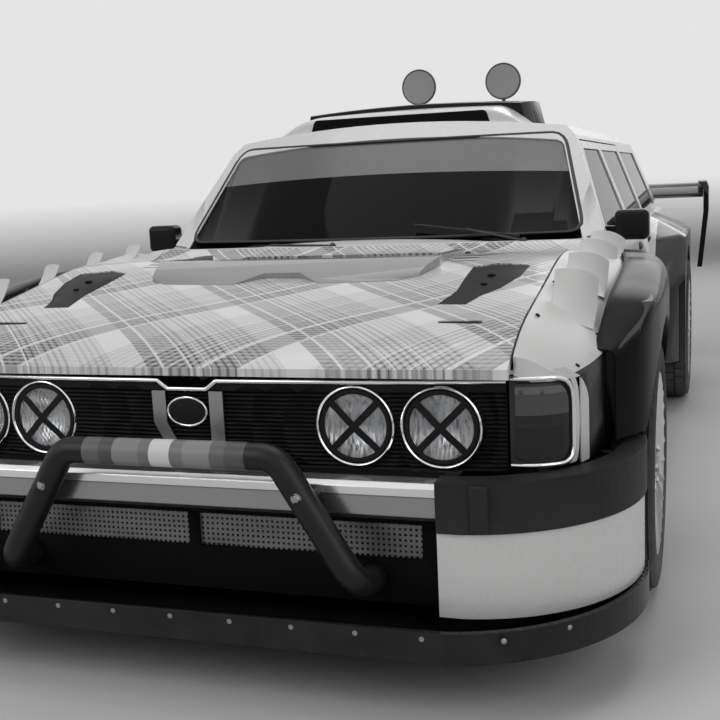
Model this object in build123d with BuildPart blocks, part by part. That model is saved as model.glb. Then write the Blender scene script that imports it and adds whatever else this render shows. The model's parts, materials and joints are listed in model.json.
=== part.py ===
"""Wide-bodied four-wheel-drive rally estate car, in millimetres.

+Z is up, the nose looks along -Y and the car's left side lies on +X. Lengthwise places are
stations, counted rearward from the front face of the chrome bumper.
"""

import os
from math import cos, radians, sin

from build123d import *

os.makedirs("parts", exist_ok=True)

# Whole car
wheelbase = 2450
front_axle = 790
rear_axle = front_axle + wheelbase
axle_height = 325
nose_reach = 80
tail_station = 4430
middle_station = (tail_station - nose_reach) / 2
gap = 5
seat_gap = 0.3

# Wheels
tyre_radius = axle_height
tyre_width = 244
wheel_half_track = 824
rim_radius = 232
rim_wall = 8
fan_ribs = 24
hub_bore_radius = 20
arch_radius = 378
well_inner_half = 545
kingpin_half = 800

# Cabin form
sill_height = 175
floor_height = 196
door_wall = 58
roof_wall = 34
sill_half = 796
waist_half = 812
waist_height = 600
belt_half = 780
belt_height = 846
shoulder_half = 748
shoulder_height = 862
rail_half = 622
rail_height = 1184
crown_height = 1258
scuttle_station = 1296
screen_base_station = 1334
screen_radius = 3500
screen_angle = 45
tail_top_station = 3970
tail_belt_station = 4150
tail_end_station = 4222
tail_foot_station = 4180
corner_radius = 130
glass_set = 5
flange_thickness = 8
flange_reach = 12
glass_thickness = 5

# Front
bonnet_thickness = 24
skin = 24
bumper_bottom = 398
bumper_top = 475
bumper_half = 560
cap_bottom = 379
cap_top = 482
valance_bottom = 204
splitter_top = valance_bottom - seat_gap
splitter_bottom = 140
lamp_height = 570
lamp_inner_half = 374
lamp_outer_half = 555
lamp_ring_radius = 86
lamp_glass_radius = 71
nose_peak = 40
grille_half = 684


def y_at(station):
    """Y of a station."""
    return station - middle_station


def cross_plane(station):
    """Plane across the car, drawn as X and Z, with its normal to the front."""
    return Plane(origin=(0, y_at(station), 0), x_dir=(1, 0, 0), z_dir=(0, -1, 0))


def side_panel(outline, near, far):
    """Solid with a side outline of station and height, from one X to another."""
    with BuildPart() as panel:
        with BuildSketch(Plane.YZ.offset(near)):
            with BuildLine():
                Polyline(*[(y_at(station), height) for station, height in outline], close=True)
            make_face()
        extrude(amount=far - near)
    return panel.part


def plan_panel(outline, low, high):
    """Solid with a plan outline of X and station, from one height to another."""
    with BuildPart() as panel:
        with BuildSketch(Plane.XY.offset(low)):
            with BuildLine():
                Polyline(*[(half, y_at(station)) for half, station in outline], close=True)
            make_face()
        extrude(amount=high - low)
    return panel.part


def block(x_range, station_range, z_range):
    """Plain block between two X, two stations and two heights."""
    size_x = x_range[1] - x_range[0]
    size_y = station_range[1] - station_range[0]
    size_z = z_range[1] - z_range[0]
    with BuildPart(Plane((x_range[0], y_at(station_range[0]), z_range[0]))) as body:
        Box(size_x, size_y, size_z, align=(Align.MIN, Align.MIN, Align.MIN))
    return body.part


def tube(points, radius, bend):
    """Round bar through points of X, station and height, with bends of one radius."""
    route = [(half, y_at(station), height) for half, station, height in points]
    with BuildPart() as bar:
        with BuildLine() as path:
            if len(route) > 2:
                FilletPolyline(*route, radius=bend)
            else:
                Line(*route)
        start = path.wires()[0]
        with BuildSketch(Plane(origin=start @ 0, z_dir=start % 0)):
            Circle(radius)
        sweep(path=path.wires()[0])
    return bar.part


def both_sides(part):
    """A piece and its mirror image on the other side."""
    return [part, mirror(part, about=Plane.YZ)]


def wheel_cylinder(axle, radius, near, far):
    """Cylinder about one end of an axle."""
    with BuildPart() as body:
        with BuildSketch(Plane.YZ.offset(near)):
            with Locations((y_at(axle), axle_height)):
                Circle(radius)
        extrude(amount=far - near)
    return body.part


def side_profile(inset):
    """Tall slab with the car's side profile aft of the scuttle, or pulled in all round."""
    with BuildPart() as slab:
        with BuildSketch(Plane.YZ.offset(-1000)):
            with BuildLine():
                Polyline(
                    (y_at(scuttle_station - 400), sill_height - 50),
                    (y_at(tail_foot_station), sill_height - 50),
                    (y_at(tail_end_station), 440),
                    (y_at(tail_end_station - 6), 700),
                    (y_at(tail_belt_station), shoulder_height),
                    (y_at(tail_top_station), rail_height + 20),
                    (y_at(tail_top_station - 46), crown_height + 60),
                    (y_at(scuttle_station - 400), crown_height + 60),
                    close=True,
                )
            make_face()
            if inset:
                offset(amount=-inset, kind=Kind.INTERSECTION)
        extrude(amount=2000)
    return slab.part


def cabin_form(inset):
    """Closed outer form of the cabin and tail, or the same form pulled in all round."""
    with BuildPart() as form:
        with BuildSketch(cross_plane(tail_end_station + 100)):
            with BuildLine():
                Polyline((0, sill_height), (sill_half - 20, sill_height), (sill_half, sill_height + 40))
                ThreePointArc(
                    (sill_half, sill_height + 40), (waist_half, waist_height), (belt_half, belt_height))
                Polyline(
                    (belt_half, belt_height),
                    (shoulder_half, shoulder_height),
                    (rail_half, rail_height),
                    (rail_half - 34, rail_height + 34),
                )
                ThreePointArc(
                    (rail_half - 34, rail_height + 34),
                    (rail_half * 0.5, crown_height - 11),
                    (0, crown_height),
                )
                Line((0, crown_height), (0, sill_height))
            make_face()
            mirror(about=Plane.YZ)
            if inset:
                offset(amount=-inset, kind=Kind.INTERSECTION)
        extrude(amount=tail_end_station + 100 - scuttle_station - inset)
        add(side_profile(inset), mode=Mode.INTERSECT)
        add(screen_cutter(inset), mode=Mode.SUBTRACT)
    return form.part


def screen_cutter(inset):
    """All that lies ahead of the curved windscreen and above the scuttle."""
    slope = radians(screen_angle)
    base = Plane(
        origin=(0, y_at(screen_base_station), shoulder_height),
        x_dir=(1, 0, 0),
        z_dir=(0, cos(slope), sin(slope)),
    )
    with BuildPart() as drum:
        with BuildSketch(base):
            with Locations((0, screen_radius)):
                Circle(screen_radius - inset)
        extrude(amount=1100, both=True)
    with BuildPart() as ahead:
        add(block((-900, 900), (scuttle_station - 500, 2000), (shoulder_height - inset, 1500)))
        add(drum.part, mode=Mode.SUBTRACT)
    return ahead.part


def rounded_plan():
    """Plan of the tail with round rear corners, as a tall solid."""
    with BuildPart() as tail:
        with BuildSketch(Plane.XY):
            with Locations((0, y_at(scuttle_station - 10))):
                Rectangle(2 * waist_half + 20, tail_end_station - scuttle_station + 10,
                          align=(Align.CENTER, Align.MIN))
            fillet(vertices().group_by(Axis.Y)[-1], radius=corner_radius)
        extrude(amount=1500)
    return tail.part


outer_form = cabin_form(0)
flange_form = cabin_form(flange_thickness)
roof_form = cabin_form(roof_wall)
glass_outer = cabin_form(glass_set)
glass_inner = cabin_form(glass_set + glass_thickness)
tail_plan = rounded_plan()

# Side openings, as outlines of station and height
door_foot = 238
door_top = 1166
front_door_start = 1352
front_door_end = 2322
rear_door_start = front_door_end + gap
rear_door_end = 3080
frame = 40
window_foot = belt_height + 30
window_top = door_top - 26
post_slope = 0.86

front_door_outline = (
    (front_door_start, door_foot),
    (front_door_start, belt_height - 10),
    (front_door_start + 118, belt_height + 24),
    (front_door_start + 118 + (door_top - belt_height - 24) * post_slope + 60, door_top),
    (front_door_end, door_top),
    (front_door_end, door_foot),
)
rear_door_outline = (
    (rear_door_start, door_foot),
    (rear_door_start, door_top),
    (rear_door_end, door_top),
    (rear_door_end, 800),
    (rear_axle - arch_radius - 60, 560),
    (rear_axle - arch_radius - 60, door_foot),
)
front_window_outline = (
    (front_door_start + 118 + frame, window_foot),
    (front_door_start + 118 + (window_top - window_foot) * post_slope + 60 + frame, window_top),
    (front_door_end - frame, window_top),
    (front_door_end - frame, window_foot),
)
rear_window_outline = (
    (rear_door_start + frame, window_foot),
    (rear_door_start + frame, window_top),
    (rear_door_end - frame - 16, window_top),
    (rear_door_end - frame, window_foot),
)
quarter_start = rear_door_end + 44
quarter_end = 3872
quarter_window_outline = (
    (quarter_start, window_foot),
    (quarter_start, window_top),
    (quarter_end, window_top),
    (quarter_end + 96, window_foot),
)


def grown(outline, reach):
    """An outline pushed outward by a distance, or pulled in by a negative one."""
    with BuildSketch() as sheet:
        with BuildLine():
            Polyline(*outline, close=True)
        make_face()
        offset(amount=reach, kind=Kind.INTERSECTION)
    corners = sheet.sketch.faces()[0].outer_wire().order_edges()
    return [((edge @ 0).X, (edge @ 0).Y) for edge in corners]


outside = 1100
inside = 560
belt_inside = 690


def door_prism(outline, reach):
    """Prism through a left door's opening, clear of the scuttle's shelf."""
    with BuildPart() as prism:
        add(side_panel(grown(outline, reach) if reach else outline, inside, outside))
        add(block((0, belt_inside), (scuttle_station, tail_station), (0, shoulder_height + 20)),
            mode=Mode.SUBTRACT)
    return prism.part


door_outlines = {
    "front": (front_door_outline, front_window_outline),
    "rear": (rear_door_outline, rear_window_outline),
}

# Windscreen and rear window, as panels across the car
screen_half_low = 686
screen_half_high = 584
screen_low = shoulder_height + 16
screen_high = rail_height + 20


def screen_prism(reach):
    """Slanted four-sided prism through the windscreen's opening."""
    slope = radians(screen_angle)
    face = Plane(
        origin=(0, y_at(screen_base_station), shoulder_height),
        x_dir=(1, 0, 0),
        z_dir=(0, -sin(slope), cos(slope)),
    ).offset(20)
    low = (screen_low - shoulder_height) / sin(slope) - reach
    high = (screen_high - shoulder_height) / sin(slope) + reach
    with BuildPart() as prism:
        with BuildSketch(face):
            with BuildLine():
                Polyline(
                    (-screen_half_low - reach, low),
                    (screen_half_low + reach, low),
                    (screen_half_high + reach, high),
                    (-screen_half_high - reach, high),
                    close=True,
                )
            make_face()
            fillet(vertices(), radius=34 + reach)
        extrude(amount=-110)
    return prism.part


# Tailgate, hinged at the roof's rear edge
tailgate_top = 1176
tailgate_foot = 486
tailgate_half_low = 690
tailgate_half_high = 560
tailgate_start = 3900
tail_lamp_foot = 540
tail_lamp_top = 716
tub_wall = 12


def tail_prism(foot, top, half_low, half_high, start):
    """Prism through the tail, seen from behind."""
    with BuildPart() as prism:
        with BuildSketch(cross_plane(tail_end_station + 60)):
            with BuildLine():
                Polyline(
                    (-half_low, foot),
                    (half_low, foot),
                    (half_low - 14, belt_height),
                    (half_high, top),
                    (-half_high, top),
                    (-half_low + 14, belt_height),
                    close=True,
                )
            make_face()
            fillet(vertices(), radius=26)
        extrude(amount=tail_end_station + 60 - start)
    return prism.part


tailgate_prism = tail_prism(
    tailgate_foot, tailgate_top, tailgate_half_low, tailgate_half_high, tailgate_start)
tailgate_hole = tail_prism(
    tailgate_foot - gap, tailgate_top + gap, tailgate_half_low + gap, tailgate_half_high + gap,
    tailgate_start - gap)


def tail_lamp_prism(reach):
    """Prism through the left rear corner for a tail lamp."""
    return block(
        (tailgate_half_low + 14 - reach, 1000), (tail_end_station - 130, tail_end_station + 50),
        (tail_lamp_foot - reach, tail_lamp_top + reach))


def well_tub(axle, far):
    """Inner tub over one left wheel, open below."""
    with BuildPart() as tub:
        add(wheel_cylinder(axle, arch_radius + tub_wall, well_inner_half - tub_wall, far))
        add(wheel_cylinder(axle, arch_radius, well_inner_half, far + 10), mode=Mode.SUBTRACT)
        add(block((0, 1000), (axle - 600, axle + 600), (-200, sill_height)), mode=Mode.SUBTRACT)
    return tub.part


def rear_window_prism(reach):
    """Prism through the rear window."""
    with BuildPart() as prism:
        with BuildSketch(cross_plane(tail_end_station + 60)):
            with BuildLine():
                Polyline(
                    (-610 - reach, belt_height + 46 - reach),
                    (610 + reach, belt_height + 46 - reach),
                    (516 + reach, tailgate_top - 62 + reach),
                    (-516 - reach, tailgate_top - 62 + reach),
                    close=True,
                )
            make_face()
            fillet(vertices(), radius=30 + reach)
        extrude(amount=500)
    return prism.part


# Cabin wall: thick below the belt, thinner round the windows and under the roof
belt_line = belt_height + 8
below_belt = block((-1000, 1000), (scuttle_station - 50, tail_station), (0, belt_line))
with BuildPart() as lower_hollow:
    with BuildSketch(cross_plane(tail_end_station + 100)):
        with BuildLine():
            Line((0, floor_height), (sill_half - door_wall, floor_height))
            ThreePointArc(
                (sill_half - door_wall, floor_height),
                (waist_half - door_wall, waist_height),
                (belt_half - door_wall, belt_line),
            )
            Polyline((belt_half - door_wall, belt_line), (0, belt_line), (0, floor_height))
        make_face()
        mirror(about=Plane.YZ)
    extrude(amount=tail_end_station + 100 - scuttle_station - roof_wall)
    add(side_profile(roof_wall), mode=Mode.INTERSECT)

with BuildPart() as cabin_wall:
    add(outer_form)
    add(lower_hollow.part, mode=Mode.SUBTRACT)
    with BuildPart(mode=Mode.PRIVATE) as upper_hollow:
        add(roof_form)
        add(below_belt, mode=Mode.SUBTRACT)
    add(upper_hollow.part, mode=Mode.SUBTRACT)

# Centre pillar, just inside the doors
pillar_half = 744
pillar_start = front_door_end - 36
pillar_end = rear_door_start + 36
pillar_depth = 32
with BuildPart() as centre_pillar:
    with BuildSketch(cross_plane(pillar_end)):
        with BuildLine():
            Polyline(
                (pillar_half - 14, floor_height - 1), (pillar_half, 560), (pillar_half, 640),
                (belt_half - door_wall - gap - 2, 830), (700, 880), (rail_half - 39, 1172),
                (rail_half - 39, 1196), (rail_half - 70, 1196), (rail_half - 70, 1160),
                (700 - pillar_depth, 880), (belt_half - door_wall - gap - 6 - pillar_depth, 830),
                (pillar_half - pillar_depth, 640), (pillar_half - pillar_depth, 560),
                (pillar_half - 14 - pillar_depth, floor_height - 1), close=True,
            )
        make_face()
    extrude(amount=pillar_end - pillar_start)

# Jacking pads under the sills
jack_stations = (1470, 2590)
jack_half = 690
jack_size = 60
jack_drop = 8

# Body shell: sills, pillars, roof and rear quarters
with BuildPart() as body_shell:
    add(cabin_wall.part)
    add(tail_plan, mode=Mode.INTERSECT)
    for door, window in door_outlines.values():
        for side in both_sides(door_prism(door, gap)):
            add(side, mode=Mode.SUBTRACT)
    for side in both_sides(side_panel(quarter_window_outline, 560, outside)):
        add(side, mode=Mode.SUBTRACT)
    add(screen_prism(0), mode=Mode.SUBTRACT)
    add(tailgate_hole, mode=Mode.SUBTRACT)
    for side in both_sides(wheel_cylinder(rear_axle, arch_radius, well_inner_half, outside)):
        add(side, mode=Mode.SUBTRACT)
    for side in both_sides(well_tub(rear_axle, belt_half - door_wall - 4)):
        add(side)
    for side in both_sides(centre_pillar.part):
        add(side)
    for side in both_sides(tail_lamp_prism(seat_gap)):
        add(side, mode=Mode.SUBTRACT)
    for station in jack_stations:
        for side in both_sides(block(
                (jack_half - jack_size / 2, jack_half + jack_size / 2),
                (station - jack_size / 2, station + jack_size / 2),
                (sill_height - jack_drop, sill_height + 1))):
            add(side)
body_shell.part.label = "body_shell"

with BuildPart() as tail_lamps:
    with BuildPart(mode=Mode.PRIVATE) as lamp:
        add(tail_lamp_prism(0))
        add(cabin_wall.part, mode=Mode.INTERSECT)
        add(tail_plan, mode=Mode.INTERSECT)
    for side in both_sides(lamp.part):
        add(side)
tail_lamps.part.label = "tail_lamps"


def shell_between(outer, inner, prism):
    """The part of a wall that lies inside a prism."""
    with BuildPart() as wall:
        add(prism)
        add(outer, mode=Mode.INTERSECT)
        add(inner, mode=Mode.SUBTRACT)
    return wall.part


# Hinge lugs that carry each door: on the door post ahead of it, or on the centre pillar
lug_low = 570
lug_high = 630
hinge_lugs = {
    "front": block(
        (752, 796), (front_door_start - gap + seat_gap, front_door_start + 10), (lug_low, lug_high)),
    "rear": block(
        (pillar_half + seat_gap, pillar_half + 26), (rear_door_start + 6, rear_door_start + 26),
        (lug_low, lug_high)),
}

# Side doors with their windows cut, and the panes in them
doors = {}
panes = {}
for name, (door, window) in door_outlines.items():
    with BuildPart() as leaf:
        add(cabin_wall.part)
        add(door_prism(door, 0), mode=Mode.INTERSECT)
        add(side_panel(window, 500, outside), mode=Mode.SUBTRACT)
        add(hinge_lugs[name])
        with BuildPart(mode=Mode.PRIVATE) as rabbet:
            end = max(station for station, height in door)
            add(block((500, 1000), (end - flange_reach, end + 1), (door_foot - 1, door_top + 1)))
            add(flange_form, mode=Mode.INTERSECT)
        add(rabbet.part, mode=Mode.SUBTRACT)
        if name == "rear":
            add(wheel_cylinder(rear_axle, arch_radius + 12, 500, outside), mode=Mode.SUBTRACT)
    doors[name] = leaf.part
    panes[name] = shell_between(
        glass_outer, glass_inner, side_panel(grown(window, -seat_gap), 560, outside))

# Fixed glass: windscreen and both rear quarter panes
with BuildPart() as windscreen:
    add(shell_between(glass_outer, glass_inner, screen_prism(-seat_gap)))
windscreen.part.label = "windscreen"

with BuildPart() as quarter_glass:
    pane = shell_between(
        glass_outer, glass_inner, side_panel(grown(quarter_window_outline, -seat_gap), 560, outside))
    for side in both_sides(pane):
        add(side)
quarter_glass.part.label = "quarter_glass"

# Tailgate and its pane
with BuildPart() as tailgate:
    add(tailgate_prism)
    add(cabin_wall.part, mode=Mode.INTERSECT)
    add(tail_plan, mode=Mode.INTERSECT)
    add(rear_window_prism(0), mode=Mode.SUBTRACT)
    for side in both_sides(block(
            (300, 344), (tail_top_station - 12, tail_top_station + 8),
            (tailgate_top - 6, tailgate_top + gap - seat_gap))):
        add(side)
tailgate.part.label = "tailgate"

with BuildPart() as tailgate_glass:
    add(shell_between(glass_outer, glass_inner, rear_window_prism(-seat_gap)))
tailgate_glass.part.label = "tailgate_glass"

# Bonnet: a crowned panel lofted through cross sections
bonnet_front = 64
bonnet_rear = scuttle_station - 8
bonnet_half = 697
bonnet_rows = (
    # station, half width, edge height, crown height
    (bonnet_front, bonnet_half, 694, 690),
    (130, bonnet_half, 731, 726),
    (240, bonnet_half, 766, 758),
    (470, bonnet_half, 806, 796),
    (700, bonnet_half, 846, 838),
    (880, bonnet_half, 861, 855),
    (bonnet_rear, bonnet_half, 866, 862),
)


def bonnet_section(station, half, edge, crown, drop):
    """Closed cross section of the bonnet panel."""
    with BuildSketch(cross_plane(station)) as section:
        with BuildLine():
            ThreePointArc((-half, edge), (0, crown), (half, edge))
            Line((half, edge), (half, edge - drop))
            ThreePointArc((half, edge - drop), (0, crown - drop), (-half, edge - drop))
            Line((-half, edge - drop), (-half, edge))
        make_face()
    return section.sketch


def bonnet_slab(drop, lift):
    """Slab under the bonnet's top surface, raised by a lift."""
    faces = [
        bonnet_section(station, half, edge + lift, crown + lift, drop)
        for station, half, edge, crown in bonnet_rows
    ]
    with BuildPart() as slab:
        loft(sections=Sketch() + faces)
    return slab.part


# Vents through the bonnet, as S-shaped outlines of X and station
vent_points = (
    (481, 373), (548, 364), (568, 432), (603, 494), (633, 592),
    (641, 690), (558, 725), (495, 694), (496, 594), (500, 482),
)
slot_points = ((515, 237), (605, 228), (616, 235), (606, 248), (516, 251))
tray_thickness = 6
vent_depth = 12

# Raised duct across the bonnet: a lobed ramp up to a lip, with an outlet behind it
duct_lip = 735
duct_lip_height = 869
duct_back = duct_lip + 6
duct_half_plan = (
    # X, station of the front edge, from the middle outwards
    (50, 632), (119, 579), (195, 569), (321, 584), (375, 623), (402, 718), (402, duct_back),
)
duct_ramp = (
    # station, height
    (540, 700), (556, 806), (600, 826), (660, 852), (duct_lip - 20, duct_lip_height - 3),
    (duct_lip, duct_lip_height), (duct_back, duct_lip_height - 4), (duct_back, 700),
)
outlet_half = 376
outlet_rear = 1236
outlet_depth = 16
rail_end = 1000
outlet_plan = (
    (-outlet_half, duct_back), (outlet_half, duct_back), (outlet_half, outlet_rear),
    (-outlet_half, outlet_rear),
)
lug_foot = 816

bonnet_lip_foot = 673
with BuildPart() as bonnet:
    add(bonnet_slab(bonnet_thickness, 0))
    add(block((-800, 800), (0, 160), (500, bonnet_lip_foot)), mode=Mode.SUBTRACT)
    for side in both_sides(block(
            (556, 600), (bonnet_rear - 16, scuttle_station - seat_gap), (lug_foot, lug_foot + 30))):
        add(side)
    for points in (vent_points, slot_points):
        for side in both_sides(plan_panel(points, 500, 1000)):
            add(side, mode=Mode.SUBTRACT)
    add(plan_panel(outlet_plan, 600, 1000), mode=Mode.SUBTRACT)
bonnet.part.label = "bonnet"

with BuildPart() as bonnet_vents:
    vent_slab = bonnet_slab(tray_thickness, -vent_depth)
    for points in (vent_points, slot_points):
        with BuildPart(mode=Mode.PRIVATE) as tray:
            add(vent_slab)
            add(plan_panel(grown(points, -seat_gap), 500, 1000), mode=Mode.INTERSECT)
        for side in both_sides(tray.part):
            add(side)
    with BuildPart(mode=Mode.PRIVATE) as outlet_tray:
        add(bonnet_slab(tray_thickness, -outlet_depth))
        add(plan_panel(grown(outlet_plan, -seat_gap), 500, 1000), mode=Mode.INTERSECT)
    add(outlet_tray.part)
bonnet_vents.part.label = "bonnet_vents"

duct_plan = [(-half, station) for half, station in reversed(duct_half_plan)] + list(duct_half_plan)
with BuildPart() as bonnet_duct:
    add(plan_panel(duct_plan, 700, 1000))
    add(side_panel(duct_ramp, -500, 500), mode=Mode.INTERSECT)
    for side in both_sides(side_panel(
            ((duct_lip, 700), (duct_lip, duct_lip_height), (rail_end, 864), (rail_end, 700)),
            outlet_half, duct_half_plan[-1][0])):
        add(side)
    add(bonnet_slab(200, 0), mode=Mode.SUBTRACT)
    add(plan_panel(outlet_plan, 600, 1000), mode=Mode.SUBTRACT)
bonnet_duct.part.label = "bonnet_duct"

# Corner lamps, wrapped round the front corners
corner_foot = 491
corner_top = 660
corner_surround = 5


def corner_panel(reach, low, high):
    """Corner lamp's plan, from the grille round to the fender, as a solid."""
    inner = grille_half + corner_surround + seat_gap - reach
    with BuildPart() as panel:
        with BuildSketch(Plane.XY.offset(low)):
            with BuildLine():
                Polyline((inner, y_at(160)), (inner, y_at(106 - reach)), (700, y_at(107 - reach)))
                ThreePointArc(
                    (700, y_at(107 - reach)), (776 + reach * 0.7, y_at(134 - reach * 0.7)),
                    (818 + reach, y_at(205)))
                Polyline(
                    (818 + reach, y_at(205)), (790, y_at(205)), (740, y_at(160)), (inner, y_at(160)))
            make_face()
        extrude(amount=high - low)
    return panel.part


# Front fenders: a level top out to a crease, and the side below it
crease_rows = (
    # crease half width, crease height, for each bonnet row
    (790, 664),
    (812, 672),
    (841, 688),
    (855, 718),
    (867, 752),
    (872, 795),
    (waist_half + 3, 838),
)
fender_stations = [row[0] for row in bonnet_rows[:-1]] + [scuttle_station - seat_gap]
fender_rows = [
    (station, half + gap, edge, crease, height)
    for station, (_, half, edge, crown), (crease, height) in zip(fender_stations, bonnet_rows, crease_rows)
]
fender_foot = 240
fender_bulge = 6
fender_front_foot = cap_top + 1


def fender_section(station, inner, edge, crease, height, wall):
    """Closed cross section of the left fender, or of its hollow inside a wall."""
    if wall:
        inner = inner - 40
    outer = crease - 26 - wall
    with BuildSketch(cross_plane(station)) as section:
        with BuildLine():
            ThreePointArc(
                (inner, edge - wall),
                ((inner + outer) / 2, (edge + height + 2) / 2 - wall + fender_bulge),
                (outer, height + 2 - wall),
            )
            Polyline(
                (outer, height + 2 - wall),
                (crease - wall, height - 22 - wall),
                (crease - wall + 4, fender_foot - wall),
                (inner, fender_foot - wall),
                (inner, edge - wall),
            )
        make_face()
    return section.sketch


def fender_loft(wall):
    """Left fender's form, or the hollow in it."""
    with BuildPart() as form:
        loft(sections=Sketch() + [fender_section(*row, wall) for row in fender_rows])
    return form.part


fender_form = fender_loft(0)
fender_hollow = fender_loft(skin)
nose_corner = (
    # X, station: round front corner in plan
    (600, 60), (700, 96), (770, 118), (812, 158), (834, 220), (850, 300), (1000, 300), (1000, -100),
    (600, -100),
)
front_well = wheel_cylinder(front_axle, arch_radius, well_inner_half, outside)
with BuildPart() as front_fenders:
    with BuildPart(mode=Mode.PRIVATE) as fender:
        add(fender_form)
        add(fender_hollow, mode=Mode.SUBTRACT)
        add(plan_panel(nose_corner, 0, 1200), mode=Mode.SUBTRACT)
        add(front_well, mode=Mode.SUBTRACT)
        add(block((500, 1000), (0, 430), (0, fender_front_foot)), mode=Mode.SUBTRACT)
        add(block((500, 1000), (0, 186), (0, corner_top + 2)), mode=Mode.SUBTRACT)
        add(corner_panel(corner_surround + seat_gap, 0, corner_top + 2), mode=Mode.SUBTRACT)
    for side in both_sides(fender.part):
        add(side)
front_fenders.part.label = "front_fenders"

# Wheel arch flares
flare_half = 956
flare_rear_half = 938
front_flare_side = (
    # station, height
    (336, 494), (350, 690), (520, 770), (700, 800), (1000, 828), (1170, 820), (1262, 740),
    (1280, 600), (1276, 262), (1150, 242), (446, 242), (446, 494),
)
front_flare_plan = (
    # X, station
    (780, 320), (868, 322), (920, 420), (948, 560), (flare_half, 700), (flare_half, 960),
    (930, 1130), (880, 1250), (820, 1285), (780, 1285),
)
rear_flare_side = (
    (rear_axle - 520, 250), (rear_axle - 520, 620), (rear_axle - 430, 760), (rear_axle - 240, 846),
    (rear_axle + 240, 850), (rear_axle + 470, 760), (rear_axle + 560, 600), (rear_axle + 600, 300),
    (rear_axle + 420, 222), (rear_axle - 430, 222),
)
rear_flare_plan = (
    (770, rear_axle - 520), (860, rear_axle - 520), (flare_rear_half, rear_axle - 400),
    (flare_rear_half, rear_axle + 300), (880, rear_axle + 520), (800, rear_axle + 600),
    (770, rear_axle + 600),
)


crease_plan = [(500, bonnet_front - 200), (crease_rows[0][0] - 8, bonnet_front - 200)]
crease_plan += [(crease - 8, station) for station, inner, edge, crease, height in fender_rows]
crease_plan += [(waist_half - 5, scuttle_station + 100), (500, scuttle_station + 100)]


def flare(side_outline, plan_outline, axle, seat, shoulder):
    """One flare, seated on the body's side and opened for the wheel."""
    with BuildPart() as form:
        add(side_panel(side_outline, 740, flare_half))
        add(plan_panel(plan_outline, 0, 1200), mode=Mode.INTERSECT)
        with BuildSketch(cross_plane(tail_station)):
            with BuildLine():
                Polyline(
                    (740, 200), (flare_half, 200), (flare_half, shoulder), (flare_half - 18, shoulder + 26),
                    (flare_half - 50, shoulder + 44), (740, shoulder + 130), close=True,
                )
            make_face()
        extrude(amount=tail_station, mode=Mode.INTERSECT)
        add(seat, mode=Mode.SUBTRACT)
        add(wheel_cylinder(axle, arch_radius, 500, outside), mode=Mode.SUBTRACT)
    return form.part


front_flare = flare(front_flare_side, front_flare_plan, front_axle, fender_form, 752)
with BuildPart() as front_flare_form:
    add(front_flare)
    add(plan_panel(crease_plan, 500, 1000), mode=Mode.SUBTRACT)
front_flare = front_flare_form.part
rear_flare = flare(rear_flare_side, rear_flare_plan, rear_axle, outer_form, 740)
with BuildPart() as rear_flare_fixed:
    add(rear_flare)
    add(side_panel(grown(rear_door_outline, gap), 560, outside), mode=Mode.SUBTRACT)
with BuildPart() as rear_flare_on_door:
    add(rear_flare)
    add(side_panel(rear_door_outline, 560, outside), mode=Mode.INTERSECT)
with BuildPart() as rear_door_leaf:
    add(doors["rear"])
    add(rear_flare_on_door.part)
doors["rear"] = rear_door_leaf.part
with BuildPart() as wheel_arch_flares:
    for piece in (front_flare, rear_flare_fixed.part):
        for side in both_sides(piece):
            add(side)
wheel_arch_flares.part.label = "wheel_arch_flares"


def front_arc(face, half, back):
    """Plan of a strip across the nose, peaked at the middle, as a face."""
    middle = y_at(face)
    side = y_at(face + nose_peak)
    with BuildSketch() as strip:
        with BuildLine():
            ThreePointArc((-half, side), (0, middle), (half, side))
            Line((half, side), (half, side + back))
            ThreePointArc((half, side + back), (0, middle + back), (-half, side + back))
            Line((-half, side + back), (-half, side))
        make_face()
    return strip.sketch


def nose_strip(face, half, back, low, high):
    """Strip across the nose between two heights."""
    with BuildPart() as strip:
        add(Pos(0, 0, low) * front_arc(face, half, back))
        extrude(amount=high - low)
    return strip.part


# Nose: grille with its slats, headlamps, corner lamps and chrome
grille_face = 70
grille_depth = 26
grille_foot = 478
grille_top = 660
dip_half = 70
dip_slope = 24
dip_depth = 18
slat_pitch = 9
slat_groove = 5
slat_depth = 8
lamp_places = (
    # X, station of the lens's edge
    (lamp_inner_half, 82), (lamp_outer_half, 88),
    (-lamp_inner_half, 82), (-lamp_outer_half, 88),
)
lamp_depth = 60


def lamp_drum(half, station, radius, front, back):
    """Cylinder about one headlamp's axis, between two distances behind its lens's edge."""
    with BuildPart() as drum:
        with BuildSketch(cross_plane(station + back)):
            with Locations((half, lamp_height)):
                Circle(radius)
        extrude(amount=back - front)
    return drum.part


with BuildPart() as grille:
    add(nose_strip(grille_face, grille_half, grille_depth, grille_foot, grille_top))
    with BuildSketch(cross_plane(0)):
        with BuildLine():
            Polyline(
                (-dip_half, grille_top + 1), (-dip_half + dip_slope, grille_top - dip_depth),
                (dip_half - dip_slope, grille_top - dip_depth), (dip_half, grille_top + 1), close=True,
            )
        make_face()
    extrude(amount=-200, mode=Mode.SUBTRACT)
    groove = nose_strip(grille_face - 60, grille_half, 60 + slat_depth, 0, slat_groove)
    rows = int((grille_top - dip_depth - grille_foot) / slat_pitch)
    for row in range(rows):
        add(Pos(0, 0, grille_foot + 4 + row * slat_pitch) * groove, mode=Mode.SUBTRACT)
    for half, station in lamp_places:
        add(lamp_drum(half, station, lamp_ring_radius + seat_gap, -60, 80), mode=Mode.SUBTRACT)
grille.part.label = "grille"

with BuildPart() as headlamps:
    for half, station in lamp_places:
        with BuildPart(mode=Mode.PRIVATE) as lens:
            add(lamp_drum(half, station, lamp_glass_radius, -9, 0))
            fillet(lens.part.edges().filter_by(GeomType.CIRCLE).group_by(Axis.Y)[0], radius=8)
            add(lamp_drum(half, station, lamp_ring_radius - 8, 0, lamp_depth))
        add(lens.part)
headlamps.part.label = "headlamps"

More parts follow.
